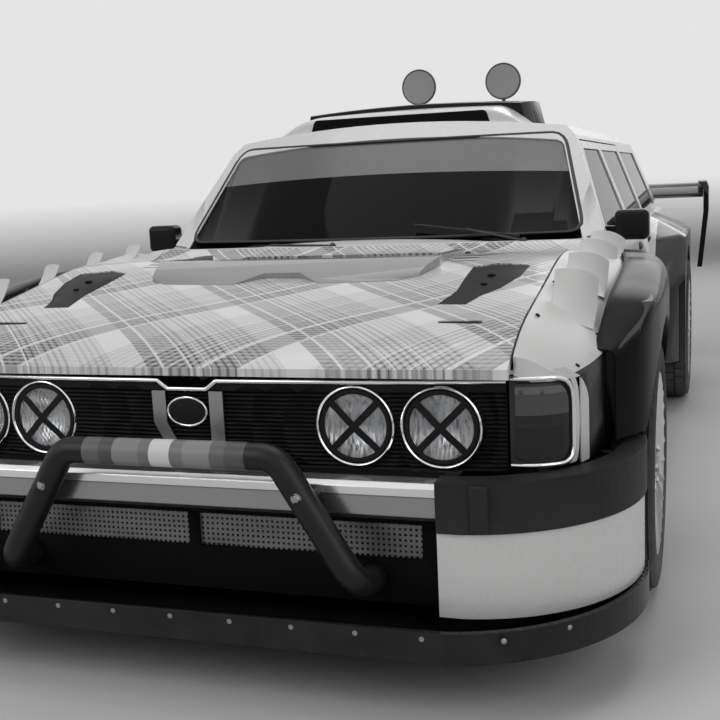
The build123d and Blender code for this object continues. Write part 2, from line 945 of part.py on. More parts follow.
with BuildPart() as lamp_rings:
    for half, station in lamp_places:
        with BuildPart(mode=Mode.PRIVATE) as ring:
            add(lamp_drum(half, station, lamp_ring_radius, -6, 30))
            add(lamp_drum(half, station, lamp_ring_radius - 8 + seat_gap, -10, 40), mode=Mode.SUBTRACT)
        add(ring.part)

with BuildPart() as corner_lamps:
    with BuildPart(mode=Mode.PRIVATE) as lamp_body:
        add(corner_panel(0, corner_foot + 8, corner_top - 8))
    for side in both_sides(lamp_body.part):
        add(side)
corner_lamps.part.label = "corner_lamps"

trim_height = 9
with BuildPart() as chrome_trim:
    with BuildPart(mode=Mode.PRIVATE) as top_strip:
        add(nose_strip(grille_face - 7, grille_half, 7 + grille_depth, 500, 700))
        with BuildSketch(cross_plane(0)):
            with BuildLine():
                low = grille_top - 2
                dip = low - dip_depth
                high = low + trim_height
                Polyline(
                    (-grille_half, low), (-dip_half, low), (-dip_half + dip_slope, dip),
                    (dip_half - dip_slope, dip), (dip_half, low), (grille_half, low),
                    (grille_half, high), (dip_half, high), (dip_half - dip_slope, dip + trim_height),
                    (-dip_half + dip_slope, dip + trim_height), (-dip_half, high),
                    (-grille_half, high), close=True,
                )
            make_face()
        extrude(amount=-300, mode=Mode.INTERSECT)
        add(nose_strip(grille_face, grille_half, grille_depth + 1, 500, low + 2), mode=Mode.SUBTRACT)
        for half, station in lamp_places:
            add(lamp_drum(half, station, lamp_ring_radius + seat_gap, -60, 80), mode=Mode.SUBTRACT)
    add(top_strip.part)
    add(lamp_rings.part)
    with BuildPart(mode=Mode.PRIVATE) as surround:
        add(corner_panel(corner_surround, corner_foot, corner_top))
        add(corner_panel(seat_gap, corner_foot + 8 - seat_gap, corner_top - 8 + seat_gap),
            mode=Mode.SUBTRACT)
    for side in both_sides(surround.part):
        add(side)
chrome_trim.part.label = "chrome_trim"

# Chrome bumper, its black caps and the white corners below them
bumper_depth = 52
with BuildPart() as front_bumper:
    with BuildSketch(Plane.YZ.offset(-bumper_half)):
        with BuildLine():
            Polyline(
                (y_at(0), bumper_bottom + 10), (y_at(0), bumper_top - 9), (y_at(9), bumper_top),
                (y_at(bumper_depth), bumper_top), (y_at(bumper_depth), bumper_bottom),
                (y_at(10), bumper_bottom), close=True,
            )
        make_face()
    extrude(amount=2 * bumper_half)
front_bumper.part.label = "front_bumper"

wrap_start = 610
wrap_end_half = 925
wrap_end = 434


def corner_wrap(inset, thick, low, high, start):
    """Band that wraps round the left front corner."""
    front = y_at(inset)
    end = y_at(wrap_end)
    reach = wrap_end_half - wrap_start
    span = wrap_end
    with BuildPart() as band:
        with BuildSketch(Plane.XY.offset(low)):
            with BuildLine():
                Line((start, front), (wrap_start, front))
                ThreePointArc(
                    (wrap_start, front),
                    (wrap_start + reach * 0.72 - inset * 0.7, y_at(span * 0.27 + inset * 0.7)),
                    (wrap_end_half - inset, end),
                )
                Line((wrap_end_half - inset, end), (wrap_end_half - inset - thick, end))
                ThreePointArc(
                    (wrap_end_half - inset - thick, end),
                    (wrap_start + reach * 0.72 - (inset + thick) * 0.7,
                     y_at(span * 0.27 + (inset + thick) * 0.7)),
                    (wrap_start, front + thick),
                )
                Line((wrap_start, front + thick), (start, front + thick))
                Line((start, front + thick), (start, front))
            make_face()
        extrude(amount=high - low)
    return band.part


with BuildPart() as bumper_caps:
    with BuildPart(mode=Mode.PRIVATE) as cap:
        add(corner_wrap(-6, 56, cap_bottom, cap_top, bumper_half + seat_gap))
        add(front_well, mode=Mode.SUBTRACT)
    for side in both_sides(cap.part):
        add(side)
bumper_caps.part.label = "bumper_caps"

with BuildPart() as front_valance:
    with BuildPart(mode=Mode.PRIVATE) as corner:
        add(corner_wrap(0, 30, valance_bottom, cap_bottom - seat_gap, bumper_half + seat_gap))
        add(front_well, mode=Mode.SUBTRACT)
    for side in both_sides(corner.part):
        add(side)
front_valance.part.label = "front_valance"

# Black panel behind and below the bumper, with the meshed intake
intake_half = 516
intake_low = 298
intake_high = 374
panel_face = bumper_depth + seat_gap
mesh_pitch = 26
mesh_bar = 3
mesh_rows = 3
with BuildPart() as front_panel:
    add(block((-bumper_half, bumper_half), (panel_face, panel_face + 30), (valance_bottom, grille_foot)))
    add(block((-intake_half, intake_half), (0, 200), (intake_low, intake_high)), mode=Mode.SUBTRACT)
    add(block((-12, 12), (panel_face, panel_face + 30), (intake_low, intake_high)))
    span = intake_half - 10
    height = intake_high - intake_low + 2
    with BuildPart(mode=Mode.PRIVATE) as grid:
        with BuildSketch(cross_plane(panel_face + 18)):
            with Locations((11 + span / 2, (intake_low + intake_high) / 2)):
                Rectangle(span, height)
                with GridLocations(mesh_pitch, height / mesh_rows, int(span / mesh_pitch), mesh_rows):
                    Rectangle(mesh_pitch - mesh_bar, height / mesh_rows - mesh_bar, mode=Mode.SUBTRACT)
        extrude(amount=4)
    for side in both_sides(grid.part):
        add(side)
front_panel.part.label = "front_panel"

# Splitter: a tray with an upright lip
lip_wall = 14
with BuildPart() as splitter:
    with BuildSketch(Plane.XY.offset(splitter_bottom)) as tray_plan:
        with BuildLine():
            Line((0, y_at(-nose_reach)), (590, y_at(-nose_reach)))
            ThreePointArc((590, y_at(-nose_reach)), (838, y_at(62)), (938, y_at(404)))
            Polyline((938, y_at(404)), (526, y_at(404)), (526, y_at(500)), (0, y_at(500)),
                     (0, y_at(-nose_reach)))
        make_face()
        mirror(about=Plane.YZ)
    extrude(amount=splitter_top - splitter_bottom)
    with BuildSketch(Plane.XY.offset(splitter_bottom + 12)):
        add(Pos(0, 0, splitter_bottom + 12) * Pos(0, 0, -splitter_bottom) * tray_plan.sketch)
        offset(amount=-lip_wall, kind=Kind.INTERSECTION)
    extrude(amount=200, mode=Mode.SUBTRACT)
splitter.part.label = "splitter"

# Blank oval badge and the two grey bars beside it, on the grille
bar_half = 68
bar_width = 32
badge_height = 596
with BuildPart() as grille_badge:
    with BuildSketch(cross_plane(grille_face - seat_gap)):
        with Locations((0, badge_height)):
            Ellipse(46, 31)
    extrude(amount=8)
    for side in (-1, 1):
        with BuildSketch(cross_plane(grille_face - seat_gap)):
            with BuildLine():
                slant = 0 if side > 0 else 40
                Polyline(
                    (side * bar_half - bar_width / 2, 640), (side * bar_half + bar_width / 2, 640),
                    (side * bar_half + bar_width / 2, 570), (side * bar_half + bar_width / 2 + slant, 496),
                    (side * bar_half - bar_width / 2 + slant, 496), (side * bar_half - bar_width / 2, 570),
                    close=True,
                )
            make_face()
        extrude(amount=5)
grille_badge.part.label = "grille_badge"

# Bull bar: one bent tube on two feet, clamped to the bumper
bar_radius = 29
bar_station = -44
bar_height = 531
bar_bend_half = 246
bar_foot_half = 412
with BuildPart() as bull_bar:
    add(tube(
        (
            (-bar_foot_half, panel_face - seat_gap, 262), (-bar_foot_half, bar_station, 262),
            (-bar_bend_half, bar_station, bar_height), (bar_bend_half, bar_station, bar_height),
            (bar_foot_half, bar_station, 262), (bar_foot_half, panel_face - seat_gap, 262),
        ),
        bar_radius, 58))
    clamp = block((292, 322), (bar_station, -seat_gap), (432, 462))
    for side in both_sides(clamp):
        add(side)
bull_bar.part.label = "bull_bar"

# Front chassis: longerons, cross member, wheel tubs and the radiator's support
longeron_half = (470, well_inner_half - tub_wall)
longeron_height = (240, 330)
with BuildPart() as front_chassis:
    for side in (-1, 1):
        edges = sorted((side * longeron_half[0], side * longeron_half[1]))
        add(block(edges, (panel_face + 30, scuttle_station), longeron_height))
    add(block((-longeron_half[0], longeron_half[0]), (560, 680), (240, 270)))
    add(block((-longeron_half[0], longeron_half[0]), (150, 210), (240, 270)))
    for side in both_sides(well_tub(front_axle, bonnet_half)):
        add(side)
front_chassis.part.label = "front_chassis"

with BuildPart() as engine_block:
    add(block((-230, 230), (400, 900), (270, 560)))
engine_block.part.label = "engine_block"

with BuildPart() as radiator:
    add(block((-360, 360), (155, 205), (270, 610)))
radiator.part.label = "radiator"

# Wheels, drawn about the left front axle's end and copied to the four places
hub_face = 838
hub_radius = 48
disc_radius = 158
disc_thickness = 14
barrel_half = 116


def revolved(profile, axle):
    """Solid turned about an axle from an outline of X and radius."""
    with BuildPart() as body:
        with BuildSketch(Plane.XY):
            with BuildLine():
                Polyline(*profile, close=True)
            make_face()
        revolve(axis=Axis.X)
    return Pos(0, y_at(axle), axle_height) * body.part


def tyre_at(axle):
    """Tyre with square shoulders, tread left plain."""
    half = tyre_width / 2
    bead = rim_radius + seat_gap
    profile = [
        (-half + 10, bead), (-half, bead + 34), (-half + 2, tyre_radius - 26), (-half + 22, tyre_radius),
        (half - 22, tyre_radius), (half - 2, tyre_radius - 26), (half, bead + 34), (half - 10, bead),
    ]
    return revolved([(wheel_half_track + x, r) for x, r in profile], axle)


def rim_at(axle):
    """Wheel with its barrel, hub, brake disc and finned cover disc."""
    near = wheel_half_track - barrel_half
    far = wheel_half_track + barrel_half
    inner = rim_radius - rim_wall
    with BuildPart() as rim:
        add(revolved([(near, inner), (near, rim_radius), (far, rim_radius), (far, inner)], axle))
        add(revolved(
            [(far - 22, 0), (far - 22, inner + 1), (far, inner + 1), (far + 2, inner - 30), (far - 6, 60),
             (far - 6, 0)], axle))
        add(revolved(
            [(hub_face, hub_bore_radius), (hub_face, hub_radius), (far - 21, hub_radius),
             (far - 21, 0), (hub_face + 50, 0), (hub_face + 50, hub_bore_radius)], axle))
        add(revolved(
            [(hub_face + 6, hub_radius - 1), (hub_face + 6, disc_radius),
             (hub_face + 6 + disc_thickness, disc_radius), (hub_face + 6 + disc_thickness, hub_radius - 1)],
            axle))
        with BuildPart(mode=Mode.PRIVATE) as fins:
            with BuildSketch(Plane.YZ.offset(far - 10)):
                with PolarLocations(150, fan_ribs):
                    Rectangle(120, 5)
            extrude(amount=16)
        add(Pos(0, y_at(axle), axle_height) * fins.part)
    return rim.part


# Front uprights, turned by the steering about a vertical kingpin
arm_low = 200
arm_high = 450
arm_thickness = 16
post_radius = 30
stub_radius = hub_bore_radius - seat_gap
stub_end = hub_face + 46


def upright_at(axle):
    """Left upright: a post on the kingpin with the stub axle and a steering arm."""
    with BuildPart() as upright:
        with BuildSketch(Plane.XY.offset(arm_low + arm_thickness + seat_gap)):
            with Locations((kingpin_half, y_at(axle))):
                Circle(post_radius)
        extrude(amount=arm_high - arm_low - 2 * arm_thickness - 2 * seat_gap)
        with BuildSketch(Plane.YZ.offset(kingpin_half)):
            with Locations((y_at(axle), axle_height)):
                Circle(stub_radius)
        extrude(amount=stub_end - kingpin_half)
        add(block((kingpin_half - 16, kingpin_half + 8), (axle, axle + 120), (282, 298)))
    return upright.part


def arms_at(axle):
    """Left wishbones and half shaft, from the wheel tub to the kingpin."""
    outline = (
        (kingpin_half, axle - 26), (kingpin_half + 26, axle - 14), (kingpin_half + 26, axle + 14),
        (kingpin_half, axle + 26), (700, axle + 34), (well_inner_half, axle + 124),
        (well_inner_half, axle + 96), (660, axle + 14), (660, axle - 14), (well_inner_half, axle - 96),
        (well_inner_half, axle - 124), (700, axle - 34),
    )
    pieces = [
        plan_panel(outline, arm_low, arm_low + arm_thickness),
        plan_panel(outline, arm_high - arm_thickness, arm_high),
        wheel_cylinder(axle, 15, well_inner_half, kingpin_half - post_radius - gap),
    ]
    return pieces


with BuildPart() as front_suspension:
    for piece in arms_at(front_axle):
        for side in both_sides(piece):
            add(side)
front_suspension.part.label = "front_suspension"

with BuildPart() as rear_suspension:
    with BuildPart(mode=Mode.PRIVATE) as corner:
        add(upright_at(rear_axle))
        for piece in arms_at(rear_axle):
            add(piece)
        add(wheel_cylinder(rear_axle, 22, kingpin_half - post_radius - gap - 1, kingpin_half))
        for level in (arm_low, arm_high - arm_thickness - 1):
            with BuildSketch(Plane.XY.offset(level)):
                with Locations((kingpin_half, y_at(rear_axle))):
                    Circle(post_radius - 2)
            extrude(amount=arm_thickness + 1)
    for side in both_sides(corner.part):
        add(side)
rear_suspension.part.label = "rear_suspension"

# Rear bumper, diffuser and side skirts
rear_bumper_depth = 52
with BuildPart() as rear_bumper:
    with BuildSketch(Plane.XY.offset(bumper_bottom)):
        with Locations((0, y_at(tail_end_station + seat_gap))):
            Rectangle(2 * waist_half - 60, rear_bumper_depth, align=(Align.CENTER, Align.MIN))
        fillet(vertices().group_by(Axis.Y)[-1], radius=40)
    extrude(amount=bumper_top - bumper_bottom)
rear_bumper.part.label = "rear_bumper"

diffuser_half = 620
diffuser_fins = 7
with BuildPart() as diffuser:
    add(side_panel(
        ((3760, sill_height - 14), (3760, sill_height - seat_gap),
         (tail_foot_station - 10, sill_height - seat_gap),
         (4300, 250), (4300, 236), (4190, sill_height - 14)),
        -diffuser_half, diffuser_half))
    for index in range(diffuser_fins):
        middle = -diffuser_half + 8 + index * (2 * diffuser_half - 16) / (diffuser_fins - 1)
        add(side_panel(
            ((3900, sill_height - 10), (4186, sill_height - 10), (4296, 240), (4296, 150), (3900, 150)),
            middle - 4, middle + 4))
    add(outer_form, mode=Mode.SUBTRACT)
diffuser.part.label = "diffuser"

skirt_start = 1290
skirt_end = rear_axle - 526
skirt_half = 862
with BuildPart() as side_skirts:
    with BuildPart(mode=Mode.PRIVATE) as skirt:
        with BuildSketch(cross_plane(skirt_end)):
            with BuildLine():
                Polyline(
                    (740, 140), (skirt_half, 140), (skirt_half, 152), (sill_half + 34, 168),
                    (sill_half + 22, 226), (740, 226), close=True,
                )
            make_face()
        extrude(amount=skirt_end - skirt_start)
        add(outer_form, mode=Mode.SUBTRACT)
    for side in both_sides(skirt.part):
        add(side)
side_skirts.part.label = "side_skirts"

# Roof scoop's white fairing, the black pod behind it and two blank discs
scoop_rows = (
    # station, half width, top height
    (1752, 420, 1292),
    (1960, 470, 1316),
)
pod_rows = (
    # station, half width, top height
    (1960, 400, 1330),
    (2200, 430, 1340),
    (2520, 330, 1308),
    (2860, 160, 1266),
)
mouth_half = 322
mouth_foot = 1244
mouth_top = 1284


def hood_loft(rows, foot, edge):
    """Low hood on the roof, lofted through trapezoid sections."""
    with BuildPart() as hood:
        for station, half, top in rows:
            with BuildSketch(cross_plane(station)):
                with BuildLine():
                    Line((-half - edge, foot), (half + edge, foot))
                    Line((half + edge, foot), (half, top - 16))
                    ThreePointArc((half, top - 16), (0, top), (-half, top - 16))
                    Line((-half, top - 16), (-half - edge, foot))
                make_face()
        loft()
    return hood.part


with BuildPart() as roof_scoop:
    add(hood_loft(scoop_rows, rail_height + 20, 60))
    add(block((-mouth_half, mouth_half), (1700, 1900), (mouth_foot, mouth_top)), mode=Mode.SUBTRACT)
    add(outer_form, mode=Mode.SUBTRACT)
roof_scoop.part.label = "roof_scoop"

with BuildPart() as roof_pod:
    add(hood_loft(pod_rows, rail_height + 20, 30))
    add(outer_form, mode=Mode.SUBTRACT)
    add(block((-1000, 1000), (1500, 1960 + seat_gap), (1000, 1500)), mode=Mode.SUBTRACT)
roof_pod.part.label = "roof_pod"

disc_half = 187
disc_station = 2761
disc_height = 1459
roof_disc_radius = 77
with BuildPart() as roof_discs:
    with BuildPart(mode=Mode.PRIVATE) as marker:
        with BuildSketch(cross_plane(disc_station + 5)):
            with Locations((disc_half, disc_height)):
                Circle(roof_disc_radius)
        extrude(amount=10)
        with BuildSketch(Plane.XY.offset(rail_height)):
            with Locations((disc_half, y_at(disc_station))):
                Circle(9)
        extrude(amount=disc_height - roof_disc_radius + 6 - rail_height)
        with BuildSketch(Plane.XY.offset(rail_height)):
            with Locations((disc_half, y_at(disc_station))):
                Circle(30)
        extrude(amount=crown_height + 4 - rail_height)
        add(outer_form, mode=Mode.SUBTRACT)
        add(roof_pod.part, mode=Mode.SUBTRACT)
    for side in both_sides(marker.part):
        add(side)
roof_discs.part.label = "roof_discs"

# Raised louvre plates on the front fenders, curled up from the fender's top
flap_inner = 731
flap_rows = (
    # foot station, foot height, tip station, tip height
    (352, 752, 483, 850),
    (587, 794, 718, 868),
    (827, 824, 958, 884),
    (1060, 836, 1190, 892),
)
flap_thickness = 4
flap_width = 110
flap_slant = Vector(94, 58, -29)
flap_sag = 12
with BuildPart() as fender_flaps:
    for foot_station, foot_height, tip_station, tip_height in flap_rows:
        with BuildPart(mode=Mode.PRIVATE) as flap:
            with BuildSketch(Plane.YZ.offset(flap_inner)):
                with BuildLine():
                    foot = (y_at(foot_station), foot_height)
                    tip = (y_at(tip_station), tip_height)
                    sag = ((foot[0] + tip[0]) / 2 + flap_sag, (foot[1] + tip[1]) / 2 - flap_sag)
                    ThreePointArc(foot, sag, tip)
                    Line(tip, (tip[0] + flap_thickness, tip[1]))
                    ThreePointArc(
                        (tip[0] + flap_thickness, tip[1]),
                        (sag[0] + flap_thickness, sag[1] - flap_thickness),
                        (foot[0], foot[1] - flap_thickness))
                    Line((foot[0], foot[1] - flap_thickness), foot)
                make_face()
            extrude(amount=flap_width, dir=flap_slant.normalized())
            add(fender_form, mode=Mode.SUBTRACT)
        for side in both_sides(flap.part):
            add(side)
fender_flaps.part.label = "fender_flaps"

# Door mirrors
mirror_inner = 768
mirror_outer = 872
mirror_station = 1490
mirror_low = 846
mirror_high = 940


def mirror_housing():
    """Left mirror on its foot at the door's front corner."""
    with BuildPart() as housing:
        add(block(
            (mirror_inner, mirror_outer), (mirror_station, mirror_station + 74),
            (mirror_low, mirror_high)))
        fillet(housing.part.edges(), radius=18)
        add(block(
            (735, mirror_inner + 12), (mirror_station + 16, mirror_station + 60),
            (mirror_low + 14, mirror_low + 44)))
        add(outer_form, mode=Mode.SUBTRACT)
    return housing.part


# Rear wing with drooped ends, on two pylons from the tailgate
wing_half = 1013
wing_start = 4160
wing_foot = 884
wing_top = 968
plate_thickness = 26
pylon_half = 380
with BuildPart() as rear_wing:
    with BuildSketch(Plane.YZ.offset(-wing_half + 30)):
        with BuildLine():
            nose = (y_at(wing_start), wing_foot + 30)
            tail = (y_at(tail_station), wing_top - 8)
            edge = (y_at(tail_station - 10), wing_top)
            ThreePointArc(nose, (y_at(wing_start + 110), wing_foot + 66), edge)
            Line(edge, tail)
            ThreePointArc(tail, (y_at(wing_start + 120), wing_foot + 8), nose)
        make_face()
    extrude(amount=2 * (wing_half - 30))
    with BuildPart(mode=Mode.PRIVATE) as plate:
        add(side_panel(
            ((wing_start - 20, wing_foot + 20), (wing_start + 20, wing_top + 8),
             (tail_station - 6, wing_top + 12), (tail_station, 900), (4360, 640), (4330, 516),
             (4250, 512), (4220, 660)),
            wing_half - 60, wing_half))
        with BuildSketch(cross_plane(tail_station + 10)):
            with BuildLine():
                Polyline(
                    (wing_half - 60, wing_top + 14), (wing_half - 14, wing_top + 14),
                    (wing_half, wing_top - 20), (wing_half, 820), (wing_half - 34, 500),
                    (wing_half - 60, 500), (wing_half - 26, 820), (wing_half - 26, wing_top - 30),
                    close=True,
                )
            make_face()
        extrude(amount=400, mode=Mode.INTERSECT)
    for side in both_sides(plate.part):
        add(side)
    with BuildPart(mode=Mode.PRIVATE) as pylon:
        add(side_panel(
            ((4100, 700), (4340, 900), (4340, 930), (4230, 924), (4100, 860)),
            pylon_half - 6, pylon_half + 6))
        add(outer_form, mode=Mode.SUBTRACT)
    for side in both_sides(pylon.part):
        add(side)
rear_wing.part.label = "rear_wing"

# Cabin: roll cage, two bucket seats, dashboard and steering wheel
cage_radius = 20
cage_half = 520
cage_rail = 1150
main_hoop = pillar_end + cage_radius + 7
with BuildPart() as roll_cage:
    cage_foot = floor_height - cage_radius
    add(tube(
        ((-690, main_hoop, cage_foot), (-660, main_hoop, 840), (-cage_half, main_hoop, cage_rail),
         (cage_half, main_hoop, cage_rail), (660, main_hoop, 840), (690, main_hoop, cage_foot)),
        cage_radius, 70))
    for side in (-1, 1):
        add(tube(
            ((side * 670, 1420, cage_foot), (side * 660, 1470, 800), (side * 530, 1850, cage_rail),
             (side * cage_half, main_hoop, cage_rail)),
            cage_radius, 70))
        add(tube(
            ((side * 495, main_hoop, cage_rail), (side * 495, 3300, 700), (side * 495, 3560, cage_foot)),
            cage_radius, 60))
    add(tube(((-530, 1850, cage_rail), (530, 1850, cage_rail)), cage_radius, 0))
    add(tube(((-660, main_hoop, 780), (660, main_hoop, 780)), cage_radius, 0))
    add(block((-800, 800), (1000, tail_end_station), (0, floor_height + seat_gap)), mode=Mode.SUBTRACT)
roll_cage.part.label = "roll_cage"

seat_half = 350
seat_width = 480


def bucket_seat(half):
    """Bucket seat: one shell with raised sides, open to the front and above."""
    with BuildPart() as seat:
        add(side_panel(
            ((1800, 222), (1790, 480), (2080, 560), (2170, 800), (2230, 1012), (2340, 1012), (2310, 222)),
            half - seat_width / 2, half + seat_width / 2))
        add(side_panel(
            ((1770, 424), (2190, 362), (2290, 1030), (2200, 1100), (1700, 1100), (1700, 428)),
            half - seat_width / 2 + 32, half + seat_width / 2 - 32), mode=Mode.SUBTRACT)
        add(side_panel(
            ((2290, floor_height + seat_gap), (1810, floor_height + seat_gap), (1810, 230), (2290, 230)),
            half - 150, half + 150))
    return seat.part


with BuildPart() as seats:
    for half in (-seat_half, seat_half):
        add(bucket_seat(half))
seats.part.label = "seats"

dash_half = 630
with BuildPart() as dashboard_panel:
    add(side_panel(
        ((scuttle_station + roof_wall + seat_gap, 560), (scuttle_station + roof_wall + seat_gap, 812),
         (1560, 822), (1640, 770), (1600, 600), (1480, 560)),
        -dash_half, dash_half))

column_half = seat_half
wheel_centre = (1800, 740)
column_lean = 24
steering_radius = 165
with BuildPart() as steering_wheel:
    lean = radians(column_lean)
    face = Plane(
        origin=(column_half, y_at(wheel_centre[0]), wheel_centre[1]),
        x_dir=(1, 0, 0),
        z_dir=(0, cos(lean), sin(lean)),
    )
    with BuildSketch(face):
        Circle(steering_radius)
        Circle(steering_radius - 28, mode=Mode.SUBTRACT)
        Rectangle(2 * steering_radius - 20, 34)
        with Locations((0, 60)):
            Rectangle(34, 180)
        Circle(44)
    extrude(amount=14, both=True)
    with BuildSketch(face):
        Circle(18)
    extrude(amount=-100)
steering_wheel.part.label = "steering_wheel"

with BuildPart() as dashboard:
    with BuildSketch(face.offset(-100 - seat_gap)):
        Circle(22)
    extrude(amount=-160)
    add(dashboard_panel.part)
dashboard.part.label = "dashboard"

finished = [
    body_shell, windscreen, quarter_glass, tailgate, tailgate_glass, bonnet, bonnet_vents, bonnet_duct,
    front_fenders, wheel_arch_flares, tail_lamps, grille, headlamps, corner_lamps, chrome_trim,
    front_bumper, bumper_caps, front_valance, front_panel, splitter, grille_badge, bull_bar,
    front_chassis, engine_block, radiator, front_suspension, rear_suspension, rear_bumper, diffuser,
    side_skirts, roof_scoop, roof_pod, roof_discs, fender_flaps, rear_wing, roll_cage, seats,
    dashboard, steering_wheel,
]
pieces = {piece.part.label: piece.part for piece in finished}
left_hand = {
    "front_upright": upright_at(front_axle),
    "mirror": mirror_housing(),
    "front_tyre": tyre_at(front_axle),
    "front_rim": rim_at(front_axle),
    "rear_tyre": tyre_at(rear_axle),
    "rear_rim": rim_at(rear_axle),
}
for name in doors:
    left_hand[f"{name}_door"] = doors[name]
    left_hand[f"{name}_door_glass"] = panes[name]
for name, solid in left_hand.items():
    pieces[f"{name}_left"] = solid
    pieces[f"{name}_right"] = mirror(solid, about=Plane.YZ)

for name, solid in pieces.items():
    solid.label = name
    export_step(solid, f"parts/{name}.step")
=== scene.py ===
"""A rally estate with a plaid bonnet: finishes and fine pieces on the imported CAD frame."""

import json
import logging
from collections.abc import Callable, Iterable, Sequence
from dataclasses import dataclass
from enum import Enum
from math import pi, radians

import bmesh
import bpy
import numpy as np
from mathutils import Matrix, Vector

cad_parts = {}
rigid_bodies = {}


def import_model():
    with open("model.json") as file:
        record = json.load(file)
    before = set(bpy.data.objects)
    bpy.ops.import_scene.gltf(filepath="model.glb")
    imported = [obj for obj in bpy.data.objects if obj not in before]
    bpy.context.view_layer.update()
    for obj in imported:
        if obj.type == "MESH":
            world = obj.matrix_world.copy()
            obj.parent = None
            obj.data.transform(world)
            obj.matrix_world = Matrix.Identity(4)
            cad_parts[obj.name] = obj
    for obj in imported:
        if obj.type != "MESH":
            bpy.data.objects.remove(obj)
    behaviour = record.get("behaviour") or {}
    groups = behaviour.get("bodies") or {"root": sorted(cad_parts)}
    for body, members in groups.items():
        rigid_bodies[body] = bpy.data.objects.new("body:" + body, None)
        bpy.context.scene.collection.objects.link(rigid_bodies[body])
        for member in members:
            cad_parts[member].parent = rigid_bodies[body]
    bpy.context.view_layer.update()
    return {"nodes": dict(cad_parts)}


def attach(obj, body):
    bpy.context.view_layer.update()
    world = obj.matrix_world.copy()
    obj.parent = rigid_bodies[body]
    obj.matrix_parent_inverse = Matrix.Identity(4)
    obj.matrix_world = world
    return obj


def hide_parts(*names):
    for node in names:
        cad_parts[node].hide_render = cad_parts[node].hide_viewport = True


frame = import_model()

log = logging.getLogger("rally_car")

Colour = tuple[float, float, float]
Grid = np.ndarray
Point = tuple[float, float, float]
Profile = Sequence[tuple[float, float]]

NOSE_SHIFT = 2175.0
MILLIMETRE = 0.001
SIDES = (("left", 1.0), ("right", -1.0))


class Slot(Enum):
    """Material slots; each finish names one."""

    WHITE_PAINT = "white_paint"
    SILVER_PAINT = "silver_paint"
    BLACK_PANEL = "black_panel"
    BLACK_TRIM = "black_trim"
    DARK_FRAME = "dark_frame"
    CHROME = "chrome"
    GLASS = "glass"
    LAMP_LENS = "lamp_lens"
    SMOKED_LENS = "smoked_lens"
    TAIL_LENS = "tail_lens"
    TYRE = "tyre"
    WHEEL = "wheel"
    STEEL = "steel"
    IRON = "iron"
    SEAT = "seat"


class Relief(Enum):
    """Fine surface relief of a finish."""

    PEEL = "long soft waves of sprayed paint"
    PEBBLE = "moulded pebble grain"
    BRUSHED = "fine lines along the car's width"
    CAST = "rough casting skin"
    WEAVE = "two crossing rows of threads"
    FLUTES = "upright ribs across the car's width"


def math_method(operation: str, swapped: bool = False) -> Callable[..., "Signal"]:
    """A Signal's method that adds one Math node.

    Args:
        operation: Blender's name of the operation.
        swapped: Whether the other operand comes first.

    Returns:
        The method. The other operand is a Signal or a number.
    """

    def method(self: "Signal", other: "Signal | float" = 0.0) -> "Signal":
        """Adds the node."""
        first, second = (other, self) if swapped else (self, other)
        return self.graph.node("Math", {"operation": operation}, {0: first, 1: second})

    return method


@dataclass
class Signal:
    """One output of a material's graph; arithmetic and limits on it add Math nodes."""

    graph: "Graph"
    socket: bpy.types.NodeSocket

    __add__ = math_method("ADD")
    __radd__ = math_method("ADD", swapped=True)
    __sub__ = math_method("SUBTRACT")
    __rsub__ = math_method("SUBTRACT", swapped=True)
    __mul__ = math_method("MULTIPLY")
    __truediv__ = math_method("DIVIDE")
    __abs__ = math_method("ABSOLUTE")
    above = math_method("GREATER_THAN")
    below = math_method("LESS_THAN")
    most = math_method("MAXIMUM")
    wave = math_method("PINGPONG")
    remainder = math_method("FLOORED_MODULO")

    def clipped(self) -> "Signal":
        """Held between zero and one."""
        return self.graph.node("Clamp", {}, {"Value": self})


